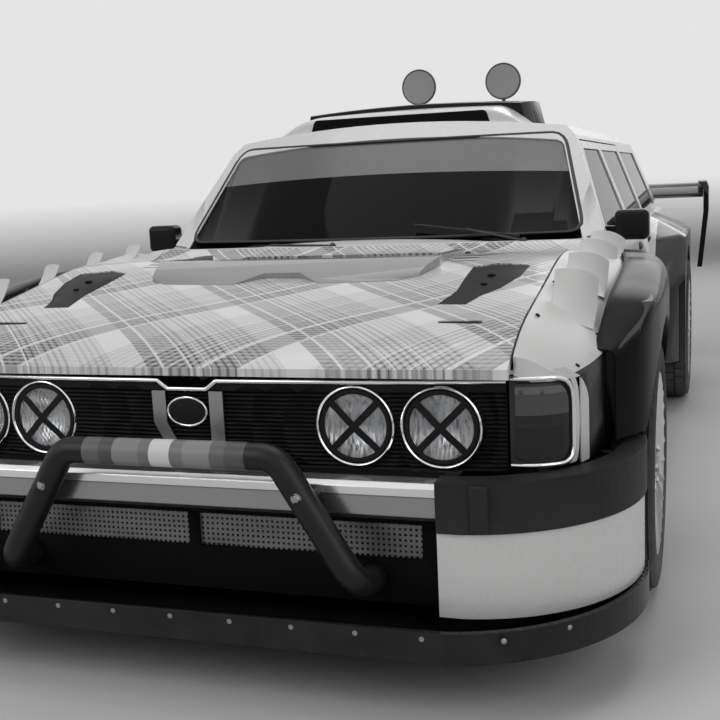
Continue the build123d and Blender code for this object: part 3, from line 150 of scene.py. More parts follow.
class Graph:
    """The node tree of one material, or of the world."""

    def __init__(self, name: str, owner: bpy.types.World | None = None) -> None:
        """Makes an empty material of that name, or empties the tree of the world that is handed in."""
        self.owner = owner or bpy.data.materials.new(name)
        self.owner.use_nodes = True
        self.tree = self.owner.node_tree
        self.tree.nodes.clear()

    def node(
        self, kind: str, settings: dict[str, object] | None = None,
        values: dict[str | int, object] | None = None, output: str | int = 0
    ) -> Signal:
        """Adds a node of any kind.

        Args:
            kind: Blender's node type, without "ShaderNode".
            settings: Properties to set first.
            values: A number, colour or Signal for each named or numbered input.
            output: The output to hand back.

        Returns:
            The chosen output.
        """
        made = self.tree.nodes.new(f"ShaderNode{kind}")
        for key, setting in (settings or {}).items():
            setattr(made, key, setting)
        for key, value in (values or {}).items():
            if isinstance(value, Signal):
                self.tree.links.new(value.socket, made.inputs[key])
            else:
                made.inputs[key].default_value = value
        return Signal(self, made.outputs[output])

    def thirds(self, kind: str, source: Signal) -> list[Signal]:
        """The three outputs of a node that splits a vector or a colour."""
        split = self.node(kind, {}, {0: source}).socket.node
        return [Signal(self, socket) for socket in split.outputs[:3]]

    def ramp(self, share: Signal, stops: Sequence[tuple[float, Colour]]) -> Signal:
        """Colours by share, each held from its stop to the next.

        Args:
            share: Place along the ramp, from 0 to 1.
            stops: Place and colour of each stop, in order.

        Returns:
            The colour.
        """
        read = self.node("ValToRGB", {}, {"Fac": share})
        ramp = read.socket.node.color_ramp
        ramp.interpolation = "CONSTANT"
        ramp.elements[0].position, ramp.elements[1].position = stops[0][0], stops[-1][0]
        for place, _ in stops[1:-1]:
            ramp.elements.new(place)
        for element, (_, colour) in zip(ramp.elements, stops):
            element.color = (*colour, 1.0)
        return read

    def place(self) -> Signal:
        """Object coordinates, in metres."""
        return self.node("TexCoord", output="Object")

    def axes(self) -> list[Signal]:
        """The three object coordinates, each as a number."""
        return self.thirds("SeparateXYZ", self.place())

    def noise(self, scale: float, detail: float = 3.0, stretch: Point = (1.0, 1.0, 1.0)) -> Signal:
        """Soft noise from 0 to 1 over the object.

        Args:
            scale: Lumps to the metre, about.
            detail: Finer layers.
            stretch: Extra scale along each axis.

        Returns:
            The noise.
        """
        spread = self.node("Mapping", {}, {"Vector": self.place(), "Scale": stretch})
        values = {"Vector": spread, "Scale": scale, "Detail": detail, "Roughness": 0.55}
        return self.node("TexNoise", {}, values)

    def mix(self, factor: Signal, first: Signal | Colour, second: Signal | Colour) -> Signal:
        """Colour between two others."""
        ends = {key: end if isinstance(end, Signal) else (*end, 1.0) for key, end in ((6, first), (7, second))}
        return self.node("Mix", {"data_type": "RGBA"}, {0: factor, **ends}, output=2)

    def grey(self, level: Signal) -> Signal:
        """A number as a grey colour."""
        return self.node("CombineColor", {}, {0: level, 1: level, 2: level})

    def seen(self) -> Signal:
        """One for camera, glossy and transmission rays, else zero."""
        names = ("Is Camera Ray", "Is Glossy Ray", "Is Transmission Ray")
        camera, glossy, through = (self.node("LightPath", output=name) for name in names)
        return camera.most(glossy).most(through)

    def close(self, shader: Signal) -> bpy.types.Material | bpy.types.World:
        """Links the shader to the output of the material or the world."""
        end = self.tree.nodes.new(f"ShaderNodeOutput{self.owner.bl_rna.identifier}")
        self.tree.links.new(shader.socket, end.inputs["Surface"])
        return self.owner


def tone(level: float, blue: float = 0.0) -> Colour:
    """A grey whose blue is a little higher or lower."""
    return (level, level, level + blue)


@dataclass(frozen=True)
class Finish:
    """A surface finish: two tones that drift into each other, dust low down, varied gloss and fine relief.

    Grain, depth of the relief and radius of the eased edges are in millimetres.
    """

    name: str
    slot: Slot
    colour: Colour
    shade: Colour
    roughness: float = 0.4
    metallic: float = 0.0
    coat: float = 0.0
    specular: float = 0.5
    drift: float = 3.0
    wear: float = 0.12
    relief: Relief = Relief.PEEL
    grain: float = 4.0
    depth: float = 0.05
    dust: float = 0.0
    dust_foot: float = 0.12
    dust_fade: float = 0.42
    dust_colour: Colour = (0.30, 0.29, 0.28)
    edge: float = 0.0

    def colours(self, graph: Graph) -> Signal:
        """Base colour: the two tones mixed by noise, then dust that thins out with height."""
        paint = graph.mix(graph.noise(self.drift, 5.0), self.colour, self.shade)
        if self.dust <= 0:
            return paint
        low = (1.0 - (graph.axes()[2] - self.dust_foot) / self.dust_fade).clipped()
        return graph.mix((low * graph.noise(14.0, 6.0) * self.dust).clipped(), paint, self.dust_colour)

    def gloss(self, graph: Graph) -> Signal:
        """Roughness, a little up and down with noise."""
        return (graph.noise(self.drift * 4.0, 4.0) - 0.5) * self.wear + self.roughness

    def height(self, graph: Graph) -> Signal:
        """The relief's height, from about 0 to 1."""
        size = self.grain * MILLIMETRE
        if self.relief is Relief.BRUSHED:
            return graph.noise(1.0 / size, 2.0, (0.02, 1.0, 1.0))
        if self.relief is Relief.CAST:
            return graph.noise(1.0 / size, 7.0)
        if self.relief is Relief.PEBBLE:
            cells = {"Vector": graph.place(), "Scale": 1.0 / size}
            return graph.node("TexVoronoi", {"feature": "SMOOTH_F1"}, cells)
        across, along, up = graph.axes()
        if self.relief is Relief.FLUTES:
            return across.wave(size / 2) / size
        if self.relief is Relief.WEAVE:
            return (across + up).wave(size / 2) / size + (along - across).wave(size / 2) / size
        return graph.noise(1.0 / size, 2.0)

    def normal(self, graph: Graph) -> Signal:
        """Relief, on edges that are eased where the finish asks for it."""
        values = {"Height": self.height(graph), "Distance": self.depth * MILLIMETRE, "Strength": 1.0}
        if self.edge > 0:
            values["Normal"] = graph.node("Bevel", {"samples": 4}, {"Radius": self.edge * MILLIMETRE})
        return graph.node("Bump", {}, values)

    def inputs(self, graph: Graph) -> dict[str, object]:
        """What the surface shader gets."""
        return {
            "Base Color": self.colours(graph), "Roughness": self.gloss(graph), "Normal": self.normal(graph),
            "Metallic": self.metallic, "Coat Weight": self.coat, "Coat Roughness": 0.06,
            "Specular IOR Level": self.specular}

    def shader(self, graph: Graph) -> Signal:
        """The surface shader."""
        return graph.node("BsdfPrincipled", {}, self.inputs(graph))

    def material(self) -> bpy.types.Material:
        """The finish's material, made once."""
        made = bpy.data.materials.get(self.name)
        if made:
            return made
        graph = Graph(self.name)
        return graph.close(self.shader(graph))


@dataclass(frozen=True)
class PlaidPaint(Finish):
    """White paint with a printed diagonal plaid and two ladders of black bars beside the duct.

    A family of bands is (angle, sense, start, period, thread pitch, thread width, stops); each stop is
    (place, (tone, white line, threads)).
    """

    falling: tuple = (44.0, 1.0, 0.552, 0.284, 0.0068, 0.0026, (
        (0.0, (0.40, 0.0, 0.0)), (0.085, (0.9, 1.0, 0.0)), (0.105, (0.52, 0.0, 0.3)), (0.25, (0.9, 1.0, 0.0)),
        (0.265, (0.72, 0.0, 1.0)), (0.36, (0.9, 0.8, 0.0)), (0.372, (0.80, 0.0, 1.0)), (0.55, (0.9, 0.7, 0.0)),
        (0.56, (0.84, 0.0, 0.6)), (0.79, (1.0, 0.0, 0.0))))
    rising: tuple = (40.0, -1.0, -0.030, 0.350, 0.0072, 0.0027, (
        (0.0, (0.46, 0.0, 0.3)), (0.145, (0.9, 1.0, 0.0)), (0.175, (0.76, 0.0, 1.0)), (0.30, (0.9, 0.8, 0.0)),
        (0.31, (0.84, 0.0, 1.0)), (0.48, (0.9, 0.6, 0.0)), (0.49, (0.88, 0.0, 0.4)), (0.70, (1.0, 0.0, 0.0)),
        (0.975, (0.9, 1.0, 0.0))))
    strength: float = 0.26
    ladder_sides: tuple[float, float] = (0.420, 0.486)
    ladder_ends: tuple[float, float] = (0.762, 1.040)
    ladder_pitch: float = 0.045
    ladder_bar: float = 0.0115

    def _family(
        self, graph: Graph, across: Signal, station: Signal, family: tuple
    ) -> tuple[Signal, Signal, Signal]:
        """One family of bands, read from a ramp along X and station turned by its angle.

        Args:
            graph: The material's graph.
            across: X in metres.
            station: Station in metres.
            family: The family's numbers.

        Returns:
            Tone, white line and threads.
        """
        angle, sense, start, period, pitch, width, stops = family
        turn = radians(angle)
        distance = across * float(sense * np.sin(turn)) + station * float(np.cos(turn)) - start
        share = distance.remainder(period) / period
        level, line, threads = graph.thirds("SeparateColor", graph.ramp(share, stops))
        return level, line, distance.wave(pitch).below(width) * threads * self.strength

    def colours(self, graph: Graph) -> Signal:
        """Base colour: the bands' tones multiplied, fine threads and dashes, white lines, then the ladders."""
        across, along, _ = graph.axes()
        station = along + NOSE_SHIFT * MILLIMETRE
        level, line, fine = self._family(graph, across, station, self.falling)
        cross_level, cross_line, cross_fine = self._family(graph, across, station, self.rising)
        dashes = along.wave(0.0052).below(0.0021) * (2.0 - level - cross_level) * 0.30
        cloth = level * cross_level * 0.88 - fine - cross_fine + dashes
        white = line.most(cross_line) * (0.62 + across.wave(0.0076).below(0.0046) * 0.38)
        plaid = graph.mix((white * 0.85).clipped(), graph.grey(cloth), self.colour)
        bars = (station - self.ladder_ends[0]).wave(self.ladder_pitch / 2).below(self.ladder_bar)
        ladder = abs(across).above(self.ladder_sides[0]) * abs(across).below(self.ladder_sides[1])
        ladder = ladder * station.above(self.ladder_ends[0]) * station.below(self.ladder_ends[1])
        return graph.mix(ladder * bars, graph.mix(ladder, plaid, self.colour), tone(0.03))


@dataclass(frozen=True)
class PanelPaint(Finish):
    """White paint with a black panel: beyond a side distance, between two heights, behind a leaning edge."""

    side: float = 0.8175
    front: float = -9.0
    foot: float = -9.0
    top: float = 9.0
    lean: float = 0.0
    lean_foot: float = 0.60
    top_climb: float = 0.08
    black: Colour = (0.010, 0.010, 0.011)

    def colours(self, graph: Graph) -> Signal:
        """Base colour: paint, then black where every limit says so."""
        across, along, height = graph.axes()
        station = along + NOSE_SHIFT * MILLIMETRE
        rise = (height - self.lean_foot).clipped()
        panel = abs(across).above(self.side) * (station + rise * rise * self.lean).above(self.front)
        panel = panel * height.above(self.foot) * (height - station * self.top_climb).below(self.top)
        return graph.mix(panel, super().colours(graph), self.black)


@dataclass(frozen=True)
class SteppedFinish(Finish):
    """A finish whose colour steps along one axis, such as taped bands; each stop is (place, level, blue)."""

    axis: int = 0
    start: float = 0.0
    end: float = 1.0
    stops: tuple[Point, ...] = ((0.0, 0.5, 0.0), (1.0, 0.5, 0.0))

    def colours(self, graph: Graph) -> Signal:
        """Base colour: a ramp along the axis between start and end, with a little drift."""
        share = (graph.axes()[self.axis] - self.start) / (self.end - self.start)
        steps = graph.ramp(share.clipped(), [(place, tone(level, blue)) for place, level, blue in self.stops])
        return graph.mix(graph.noise(self.drift, 5.0) * 0.12, steps, self.shade)


@dataclass(frozen=True)
class PaintedGlintFinish(Finish):
    """A fluted lamp's reflector, bright with upright dark streaks: painted glints and reflections of its
    flutes, set in the base colour.
    """

    streaks: float = 230.0

    def colours(self, graph: Graph) -> Signal:
        """Base colour: noise drawn out upwards, made into streaks of the two tones, as painted reflections of
        the flutes.
        """
        lines = graph.noise(self.streaks, 2.0, (1.0, 0.16, 0.16))
        return graph.mix(((lines - 0.36) * 6.0).clipped(), self.shade, self.colour)


@dataclass(frozen=True)
class WindowGlass(Finish):
    """Dark window glass that lets light through."""

    tint: float = 0.92

    def inputs(self, graph: Graph) -> dict[str, object]:
        """What the surface shader gets, with the constants of clear glass."""
        return super().inputs(graph) | {"Transmission Weight": self.tint, "IOR": 1.16}


@dataclass(frozen=True)
class ScreenGlass(WindowGlass):
    """Windscreen glass with an opaque grey band across its top."""

    band_height: float = 1.085
    band_arch: float = 0.05
    band_colour: Colour = (0.125, 0.125, 0.128)

    def shader(self, graph: Graph) -> Signal:
        """Glass below, satin film above a line that drops towards the pillars."""
        across, _, height = graph.axes()
        film = graph.node("BsdfPrincipled", {}, {
            "Base Color": graph.mix(graph.noise(30.0), self.band_colour, tone(0.16)),
            "Roughness": graph.noise(60.0) * 0.1 + 0.2})
        above = (height + across * across * self.band_arch).above(self.band_height)
        return graph.node("MixShader", {}, {0: above, 1: super().shader(graph), 2: film})


@dataclass(frozen=True)
class MeshFinish(Finish):
    """Woven wire: a fine square grid of wires with open holes between them."""

    pitch: float = 0.0118
    wire: float = 0.0034

    def inputs(self, graph: Graph) -> dict[str, object]:
        """What the shader gets: opaque where either row of wires runs, open elsewhere."""
        across, _, height = graph.axes()
        upright, level = (axis.wave(self.pitch / 2).below(self.wire) for axis in (across, height))
        return {"Base Color": self.colours(graph), "Roughness": self.gloss(graph), "Alpha": upright.most(level),
                "Metallic": self.metallic}


PAINT = {"coat": 0.4, "grain": 6.0, "depth": 0.04, "edge": 1.6}
PEBBLE = {"relief": Relief.PEBBLE}
FLUTES = {"relief": Relief.FLUTES}
WEAVE = {"relief": Relief.WEAVE}
PANE = {"wear": 0.02, "grain": 50.0, "depth": 0.02}

WHITE_PAINT = Finish(
    "white_paint_gloss", Slot.WHITE_PAINT, tone(0.83, -0.01), tone(0.78, -0.005), 0.28, dust=0.15, **PAINT)
DOOR_PAINT = PanelPaint(
    "rear_door_paint", Slot.WHITE_PAINT, tone(0.83, -0.01), tone(0.78, -0.005), 0.28, dust=0.15, **PAINT)
FENDER_PAINT = PanelPaint(
    "fender_paint_with_inlets", Slot.WHITE_PAINT, tone(0.81, -0.01), tone(0.76, -0.005), 0.34, specular=0.3,
    grain=6.0, depth=0.04, dust=0.3, edge=1.6, side=0.792, front=0.217, foot=0.447, top=0.656, lean=9.0,
    black=tone(0.006, 0.0005))
PLAID = PlaidPaint("plaid_bonnet_paint", Slot.WHITE_PAINT, tone(0.86, -0.01), tone(0.80), 0.3, **PAINT)
SILVER_PAINT = Finish(
    "silver_duct_paint", Slot.SILVER_PAINT, tone(0.36, 0.005), tone(0.30, 0.005), 0.22, coat=0.5, grain=5.0,
    depth=0.04, edge=3.0)
GLOSS_BLACK = Finish(
    "gloss_black_panel", Slot.BLACK_PANEL, tone(0.008, 0.0005), tone(0.014, 0.001), 0.24, specular=0.15,
    grain=8.0, dust=0.12, edge=3.0)
FLARE_GLOSS = Finish(
    "flare_gloss_black", Slot.BLACK_PANEL, tone(0.006, 0.0005), tone(0.009, 0.001), 0.24, specular=0.05,
    grain=12.0)
VENT_BLACK = Finish(
    "vent_cover_black", Slot.BLACK_PANEL, tone(0.010, 0.0005), tone(0.017, 0.0005), 0.34, specular=0.03,
    grain=6.0, depth=0.06, edge=2.0)
DEEP_BLACK = Finish(
    "deep_matt_black", Slot.BLACK_TRIM, tone(0.004), tone(0.007), 0.8, specular=0.1, depth=0.2, **PEBBLE)
FLAP_PAINT = Finish(
    "flap_plate_paint", Slot.WHITE_PAINT, tone(0.80, -0.01), tone(0.70, -0.005), 0.34, drift=9.0, grain=8.0,
    depth=0.12)
MATT_BLACK = Finish(
    "satin_black_trim", Slot.BLACK_TRIM, tone(0.010, 0.0005), tone(0.018, 0.0005), 0.55, wear=0.2,
    specular=0.12, grain=2.2, depth=0.12, dust=0.3, edge=2.0, **PEBBLE)
BUMPER_RUBBER = Finish(
    "moulded_bumper_rubber", Slot.BLACK_TRIM, tone(0.018, 0.0005), tone(0.028, 0.0005), 0.5, wear=0.22,
    specular=0.14, grain=3.0, depth=0.2, dust=0.3, edge=5.0, **PEBBLE)
DARK_METAL = Finish(
    "dark_frame_paint", Slot.DARK_FRAME, tone(0.07, 0.003), tone(0.10), 0.45, dust=0.6, relief=Relief.CAST,
    grain=6.0, depth=0.1, edge=1.5)
CHROME = Finish(
    "chrome_plate", Slot.CHROME, tone(0.88, 0.01), tone(0.80, 0.01), 0.08, metallic=1.0, wear=0.05, grain=10.0,
    depth=0.04, edge=1.0)
BUMPER_CHROME = SteppedFinish(
    "two_tone_bumper_chrome", Slot.CHROME, tone(0.8), tone(0.62, 0.01), 0.2, metallic=0.85, wear=0.14,
    grain=12.0, depth=0.06, edge=4.0, axis=2, start=0.398, end=0.476,
    stops=((0.0, 0.30, 0.005), (0.10, 0.36, 0.005), (0.62, 0.20, 0.005), (0.66, 0.92, 0.01), (1.0, 0.85, 0.01)))
BAR_BANDS = SteppedFinish(
    "banded_bull_bar_paint", Slot.BLACK_PANEL, tone(0.1), tone(0.05, 0.002), 0.36, wear=0.16, specular=0.25,
    start=-0.4625, end=0.4625,
    stops=((0.0, 0.014, 0.0005), (0.30, 0.16, 0.005), (0.3405, 0.10, 0.005), (0.377, 0.30, 0.005),
           (0.4416, 0.22, 0.005), (0.4697, 0.86, -0.01), (0.5205, 0.24, 0.005), (0.5508, 0.33, 0.005),
           (0.62, 0.17, 0.005), (0.6546, 0.12, 0.005), (0.70, 0.014, 0.0005)))
STEEL = Finish(
    "brushed_steel", Slot.STEEL, tone(0.42, 0.01), tone(0.33, 0.01), 0.34, metallic=0.9, relief=Relief.BRUSHED,
    grain=0.8, depth=0.06, dust=0.3)
CAGE_PAINT = Finish("cage_tube_paint", Slot.STEEL, tone(0.40, 0.01), tone(0.34, 0.01), 0.35)
IRON = Finish(
    "cast_iron", Slot.IRON, tone(0.13), (0.20, 0.19, 0.18), 0.55, metallic=0.6, relief=Relief.CAST, depth=0.4)
RUBBER = Finish(
    "tyre_rubber", Slot.TYRE, tone(0.020), (0.036, 0.035, 0.034), 0.72, wear=0.2, specular=0.3, depth=0.3,
    dust=0.5, **PEBBLE)
SEAL_RUBBER = Finish(
    "window_seal_rubber", Slot.BLACK_TRIM, tone(0.015), tone(0.025), 0.5, grain=2.0, depth=0.1, **PEBBLE)
WHEEL_PAINT = Finish(
    "pale_wheel_enamel", Slot.WHEEL, tone(0.74), tone(0.66, -0.005), 0.3, coat=0.3, dust=0.5, grain=3.0,
    depth=0.08, edge=1.0)
SIDE_GLASS = WindowGlass(
    "tinted_side_glass", Slot.GLASS, (0.02, 0.021, 0.022), (0.016, 0.017, 0.018), 0.03, specular=0.03, **PANE)
SCREEN_GLASS = ScreenGlass(
    "banded_windscreen_glass", Slot.GLASS, (0.03, 0.031, 0.032), (0.024, 0.025, 0.026), 0.03, specular=0.07,
    **PANE)
LAMP_GLASS = WindowGlass(
    "fluted_lamp_glass", Slot.LAMP_LENS, (0.86, 0.87, 0.88), (0.80, 0.81, 0.82), 0.04, wear=0.03, grain=5.5,
    depth=1.1, **FLUTES)
# The reflector's bright and dark streaks are painted reflections held in its colour, not relief.
PAINTED_GLINT_REFLECTOR = PaintedGlintFinish(
    "streaked_lamp_reflector", Slot.LAMP_LENS, tone(0.98, 0.01), tone(0.20, 0.005), 0.2, metallic=0.7,
    drift=26.0, wear=0.2, grain=9.0, depth=1.2, **FLUTES)
CORNER_LENS = SteppedFinish(
    "two_part_corner_lens", Slot.SMOKED_LENS, tone(0.1), tone(0.08), 0.1, coat=0.25, wear=0.05, specular=0.3,
    grain=6.0, depth=0.2, edge=2.0, axis=2, start=0.499, end=0.652, **FLUTES,
    stops=((0.0, 0.004, 0.0002), (0.46, 0.012, 0.0005), (0.62, 0.085, 0.002), (0.90, 0.17, 0.002),
           (1.0, 0.05, 0.0)))
TAIL_LENS = SteppedFinish(
    "ribbed_tail_lens", Slot.TAIL_LENS, tone(0.2), tone(0.14), 0.14, coat=0.8, wear=0.05, grain=8.0, depth=0.5,
    edge=2.0, axis=2, start=0.540, end=0.716, **FLUTES,
    stops=((0.0, 0.10, 0.002), (0.33, 0.50, 0.0), (0.56, 0.20, 0.005), (1.0, 0.16, 0.0)))
HANDLE_BLACK = Finish(
    "moulded_handle_black", Slot.BLACK_TRIM, tone(0.014, 0.0005), tone(0.022, 0.0005), 0.45, specular=0.3,
    grain=1.2, depth=0.1, edge=1.5, **PEBBLE)
WHEEL_GRIP = Finish(
    "suede_wheel_grip", Slot.BLACK_TRIM, tone(0.016, 0.001), tone(0.028, 0.001), 0.9, specular=0.15, grain=1.2,
    depth=0.2, **PEBBLE)
SEAT_CLOTH = Finish(
    "woven_seat_cloth", Slot.SEAT, tone(0.045, 0.003), tone(0.07, 0.003), 0.85, wear=0.1, specular=0.25,
    grain=2.4, depth=0.4, **WEAVE)
SEAT_SHELL = Finish(
    "moulded_seat_shell", Slot.SEAT, tone(0.03, 0.002), tone(0.045, 0.001), 0.3, coat=0.3, depth=0.08, **WEAVE)
BELT_WEB = Finish(
    "harness_webbing", Slot.SEAT, tone(0.33, 0.01), tone(0.26, 0.01), 0.75, wear=0.1, grain=1.6, depth=0.3,
    **WEAVE)
DISC_FACE = Finish("roof_disc_face", Slot.DARK_FRAME, tone(0.42), tone(0.36), 0.4, drift=8.0)
INTAKE_MESH = MeshFinish("woven_intake_wire", Slot.BLACK_TRIM, tone(0.26, 0.005), tone(0.15, 0.005), 0.35, 0.4)
MIRROR_GLASS = Finish(
    "mirror_silvering", Slot.CHROME, (0.86, 0.87, 0.88), (0.82, 0.83, 0.84), 0.03, metallic=1.0, wear=0.02,
    grain=50.0, depth=0.01)


@dataclass
class Patch:
    """A grid of points in car millimetres (X, station, Z) whose cells become quads."""

    points: Grid
    wrap_rows: bool = False
    wrap_columns: bool = True
    capped: bool = False

    def faces(self, start: int) -> list[list[int]]:
        """Corner numbers of the cells and of the two end caps.

        Args:
            start: Number of the patch's first point.

        Returns:
            The faces.
        """
        rows, columns = self.points.shape[:2]
        index = np.arange(rows * columns).reshape(rows, columns) + start
        ends = [index[0].tolist(), index[-1][::-1].tolist()] if self.capped else []
        if self.wrap_rows:
            index = np.vstack([index, index[:1]])
        if self.wrap_columns:
            index = np.hstack([index, index[:, :1]])
        quads = np.stack([index[:-1, :-1], index[1:, :-1], index[1:, 1:], index[:-1, 1:]], axis=-1)
        return quads.reshape(-1, 4).tolist() + ends

    def mirrored(self) -> "Patch":
        """The same patch on the other side of the car."""
        return Patch(self.points * (-1.0, 1.0, 1.0), self.wrap_rows, self.wrap_columns, self.capped)


def both(patches: Iterable[Patch]) -> list[Patch]:
    """The patches and their mirror images."""
    found = list(patches)
    return found + [patch.mirrored() for patch in found]


def sided(patches: Iterable[Patch], sense: float) -> list[Patch]:
    """The patches, mirrored where sense is negative."""
    return [patch if sense > 0 else patch.mirrored() for patch in patches]


def to_mesh(name: str, patches: Iterable[Patch]) -> bpy.types.Mesh:
    """A mesh in metres, in the CAD frame.

    Args:
        name: The mesh's name.
        patches: Its surfaces, in car millimetres.

    Returns:
        The mesh.
    """
    points: list[Grid] = []
    faces: list[list[int]] = []
    count = 0
    for patch in patches:
        faces += patch.faces(count)
        points.append(patch.points.reshape(-1, 3))
        count += len(points[-1])
    mesh = bpy.data.meshes.new(name)
    mesh.from_pydata(((np.vstack(points) - (0.0, NOSE_SHIFT, 0.0)) * MILLIMETRE).tolist(), [], faces)
    return mesh


def welded(mesh: bpy.types.Mesh, reach: float, outwards: bool) -> bpy.types.Mesh:
    """Merges points that lie together.

    Args:
        mesh: The mesh.
        reach: Distance in metres under which points merge.
        outwards: Whether its faces are turned outwards.

    Returns:
        The same mesh.
    """
    work = bmesh.new()
    work.from_mesh(mesh)
    bmesh.ops.remove_doubles(work, verts=work.verts, dist=reach)
    if outwards:
        bmesh.ops.recalc_face_normals(work, faces=work.faces)
    work.to_mesh(mesh)
    work.free()
    return mesh


def link(name: str, data: bpy.types.ID) -> bpy.types.Object:
    """A new object in the scene.

    Args:
        name: Its name.
        data: Its mesh, lamp or camera.

    Returns:
        The object.
    """
    made = bpy.data.objects.new(name, data)
    bpy.context.scene.collection.objects.link(made)
    return made


def dress(
    mesh: bpy.types.Mesh, finish: Finish, body: str, replaces: Sequence[str], crease: float
) -> bpy.types.Object:
    """Makes a mesh into a piece of its name, smooth between its creases, with its finish and its body.

    Args:
        mesh: The piece's mesh.
        finish: Its finish.
        body: The CAD body it rides on.
        replaces: CAD nodes that it stands for.
        crease: Angle in degrees over which an edge stays sharp.

    Returns:
        The piece.
    """
    piece = link(mesh.name, mesh)
    mesh.shade_smooth()
    mesh.set_sharp_from_angle(angle=radians(crease))
    mesh.materials.clear()
    mesh.materials.append(finish.material())
    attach(piece, body)
    if replaces:
        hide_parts(*replaces)
    log.info("%s: %d faces on %s", piece.name, len(mesh.polygons), body)
    return piece


def build(
    name: str, patches: Iterable[Patch], finish: Finish, body: str = "body", replaces: Sequence[str] = (),
    crease: float = 35.0
) -> bpy.types.Object:
    """Makes one piece from patches, with their poles merged; the arguments are those of dress."""
    return dress(welded(to_mesh(name, patches), 1e-6, True), finish, body, replaces, crease)


def unit(vectors: Grid | Sequence[float]) -> Grid:
    """The vectors at length one."""
    array = np.asarray(vectors, float)
    return array / np.linalg.norm(array, axis=-1, keepdims=True)


def grid(*coordinates: Grid | float) -> Grid:
    """Points from their coordinates, spread to one shape."""
    return np.stack(np.broadcast_arrays(*coordinates), axis=-1)


def round_angles(count: int) -> Grid:
    """Even angles once round."""
    return np.arange(count) * 2 * pi / count


def circle(direction: Sequence[float], angle: Grid) -> Grid:
    """Points of the unit circle square to a direction: cos a * side + sin a * up, with up near upright."""
    along = unit(direction)
    side = unit(np.cross(along, (0.0, 0.0, 1.0) if abs(along[2]) < 0.9 else (0.0, 1.0, 0.0)))
    return np.cos(angle)[..., None] * side + np.sin(angle)[..., None] * np.cross(side, along)


def turned(profile: Profile, centre: Sequence[float], direction: Sequence[float], steps: int = 32,
           closed: bool = False) -> Patch:
    """A profile turned about an axis: each point is centre + along * direction + radius * unit circle.

    Args:
        profile: Distance along the axis and radius of each ring.
        centre: Where distance zero is.
        direction: The axis.
        steps: Points a ring.
        closed: Whether the last ring joins the first.

    Returns:
        The surface.
    """
    rows = np.asarray(profile, float)[..., None]
    spread = rows[:, :1] * unit(direction) + rows[:, 1:] * circle(direction, round_angles(steps))
    return Patch(np.asarray(centre, float) + spread, wrap_rows=closed)


def rod(path: Grid | Sequence[Sequence[float]], radius: float, steps: int = 12, closed: bool = False,
        rise: float = 0.0) -> Patch:
    """A round bar along a path: at each point a ring of that radius, square to the path's direction there.

    Args:
        path: Points along its middle.
        radius: Its radius.
        steps: Points a ring.
        closed: Whether its ends meet; else they are capped.
        rise: Upright radius of an oval bar, or 0 for a round one.

    Returns:
        The surface.
    """
    line = np.asarray(path, float)
    ahead = unit(np.roll(line, -1, 0) - np.roll(line, 1, 0) if closed else np.gradient(line, axis=0))
    rough = np.array([0.0, 0.0, 1.0] if np.abs(ahead[:, 2]).max() < 0.9 else [0.31, 0.95, 0.0])
    if abs(ahead @ rough).max() > 0.95:
        rough = np.array([0.95, 0.31, 0.0])
    side = unit(np.cross(ahead, rough))[:, None]
    up = np.cross(side, ahead[:, None])
    angle = round_angles(steps)[None, :, None]
    spread = np.cos(angle) * side * radius + np.sin(angle) * up * (rise or radius)
    return Patch(line[:, None] + spread, wrap_rows=closed, capped=not closed)


def softened(path: Sequence[Sequence[float]], rounds: int = 3) -> Grid:
    """A path with its corners cut: each round puts points at a quarter and three quarters of every run.

    Args:
        path: The corner points.
        rounds: How often the corners are cut.

    Returns:
        The finer path.
    """
    line = np.asarray(path, float)
    for _ in range(rounds):
        start, end = line[:-1], line[1:]
        cut = np.stack([start * 0.75 + end * 0.25, start * 0.25 + end * 0.75], axis=1)
        line = np.vstack([line[:1], cut.reshape(-1, line.shape[1]), line[-1:]])
    return line


def flowing(at: Grid | float, places: Sequence[float], values: Sequence[float]) -> Grid:
    """A smooth curve through given values: between two places a cubic whose slopes are those of the neighbours.

    Args:
        at: Where the curve is wanted.
        places: Rising places of the values.
        values: The values there.

    Returns:
        The curve's heights.
    """
    x, y = np.asarray(places, float), np.asarray(values, float)
    slope = np.gradient(y, x)
    cell = np.clip(np.searchsorted(x, at, side="right") - 1, 0, len(x) - 2)
    width = x[cell + 1] - x[cell]
    t = np.clip((at - x[cell]) / width, 0, 1)
    rest = 1 - t
    return (y[cell] * (1 + 2 * t) * rest ** 2 + y[cell + 1] * (3 - 2 * t) * t ** 2
            + width * (slope[cell] * t * rest ** 2 - slope[cell + 1] * t ** 2 * rest))


def along_length(line: Grid, shares: Grid) -> Grid:
    """Points of a path at shares of its length."""
    length = np.concatenate([[0.0], np.cumsum(np.linalg.norm(np.diff(line, axis=0), axis=1))])
    return np.stack([np.interp(shares * length[-1], length, column) for column in line.T], axis=-1)


def evened(outline: Grid, count: int) -> Grid:
    """A closed outline with its points spread evenly along its length."""
    return along_length(np.vstack([outline, outline[:1]]), np.linspace(0, 1, count, endpoint=False))


def loop_rings(outline: Grid, rings: int) -> Grid:
    """Copies of a closed outline, drawn in step by step to its middle."""
    middle = outline.mean(axis=0)
    return middle + (outline - middle) * np.linspace(1, 0, rings)[:, None, None]


def rounded_outline(corners: Profile, radii: Sequence[float], steps: int = 8) -> Grid:
    """A closed outline with rounded corners: at each corner a quadratic bend between two points on its runs.

    Args:
        corners: The corner points in order.
        radii: How far from each corner its bend starts.
        steps: Points a bend.

    Returns:
        The outline's points.
    """
    point = np.asarray(corners, float)
    reach = np.asarray(radii, float)[:, None]
    start, end = ((point + unit(np.roll(point, turn, 0) - point) * reach)[:, None] for turn in (1, -1))
    t = np.linspace(0, 1, steps)[None, :, None]
    return (start * (1 - t) ** 2 + point[:, None] * 2 * t * (1 - t) + end * t ** 2).reshape(-1, 2)


def walled(face: Grid, back: Grid) -> Patch:
    """A closed wall between a face and its back."""
    return Patch(np.concatenate([face, back[:, ::-1]], axis=1), capped=True)


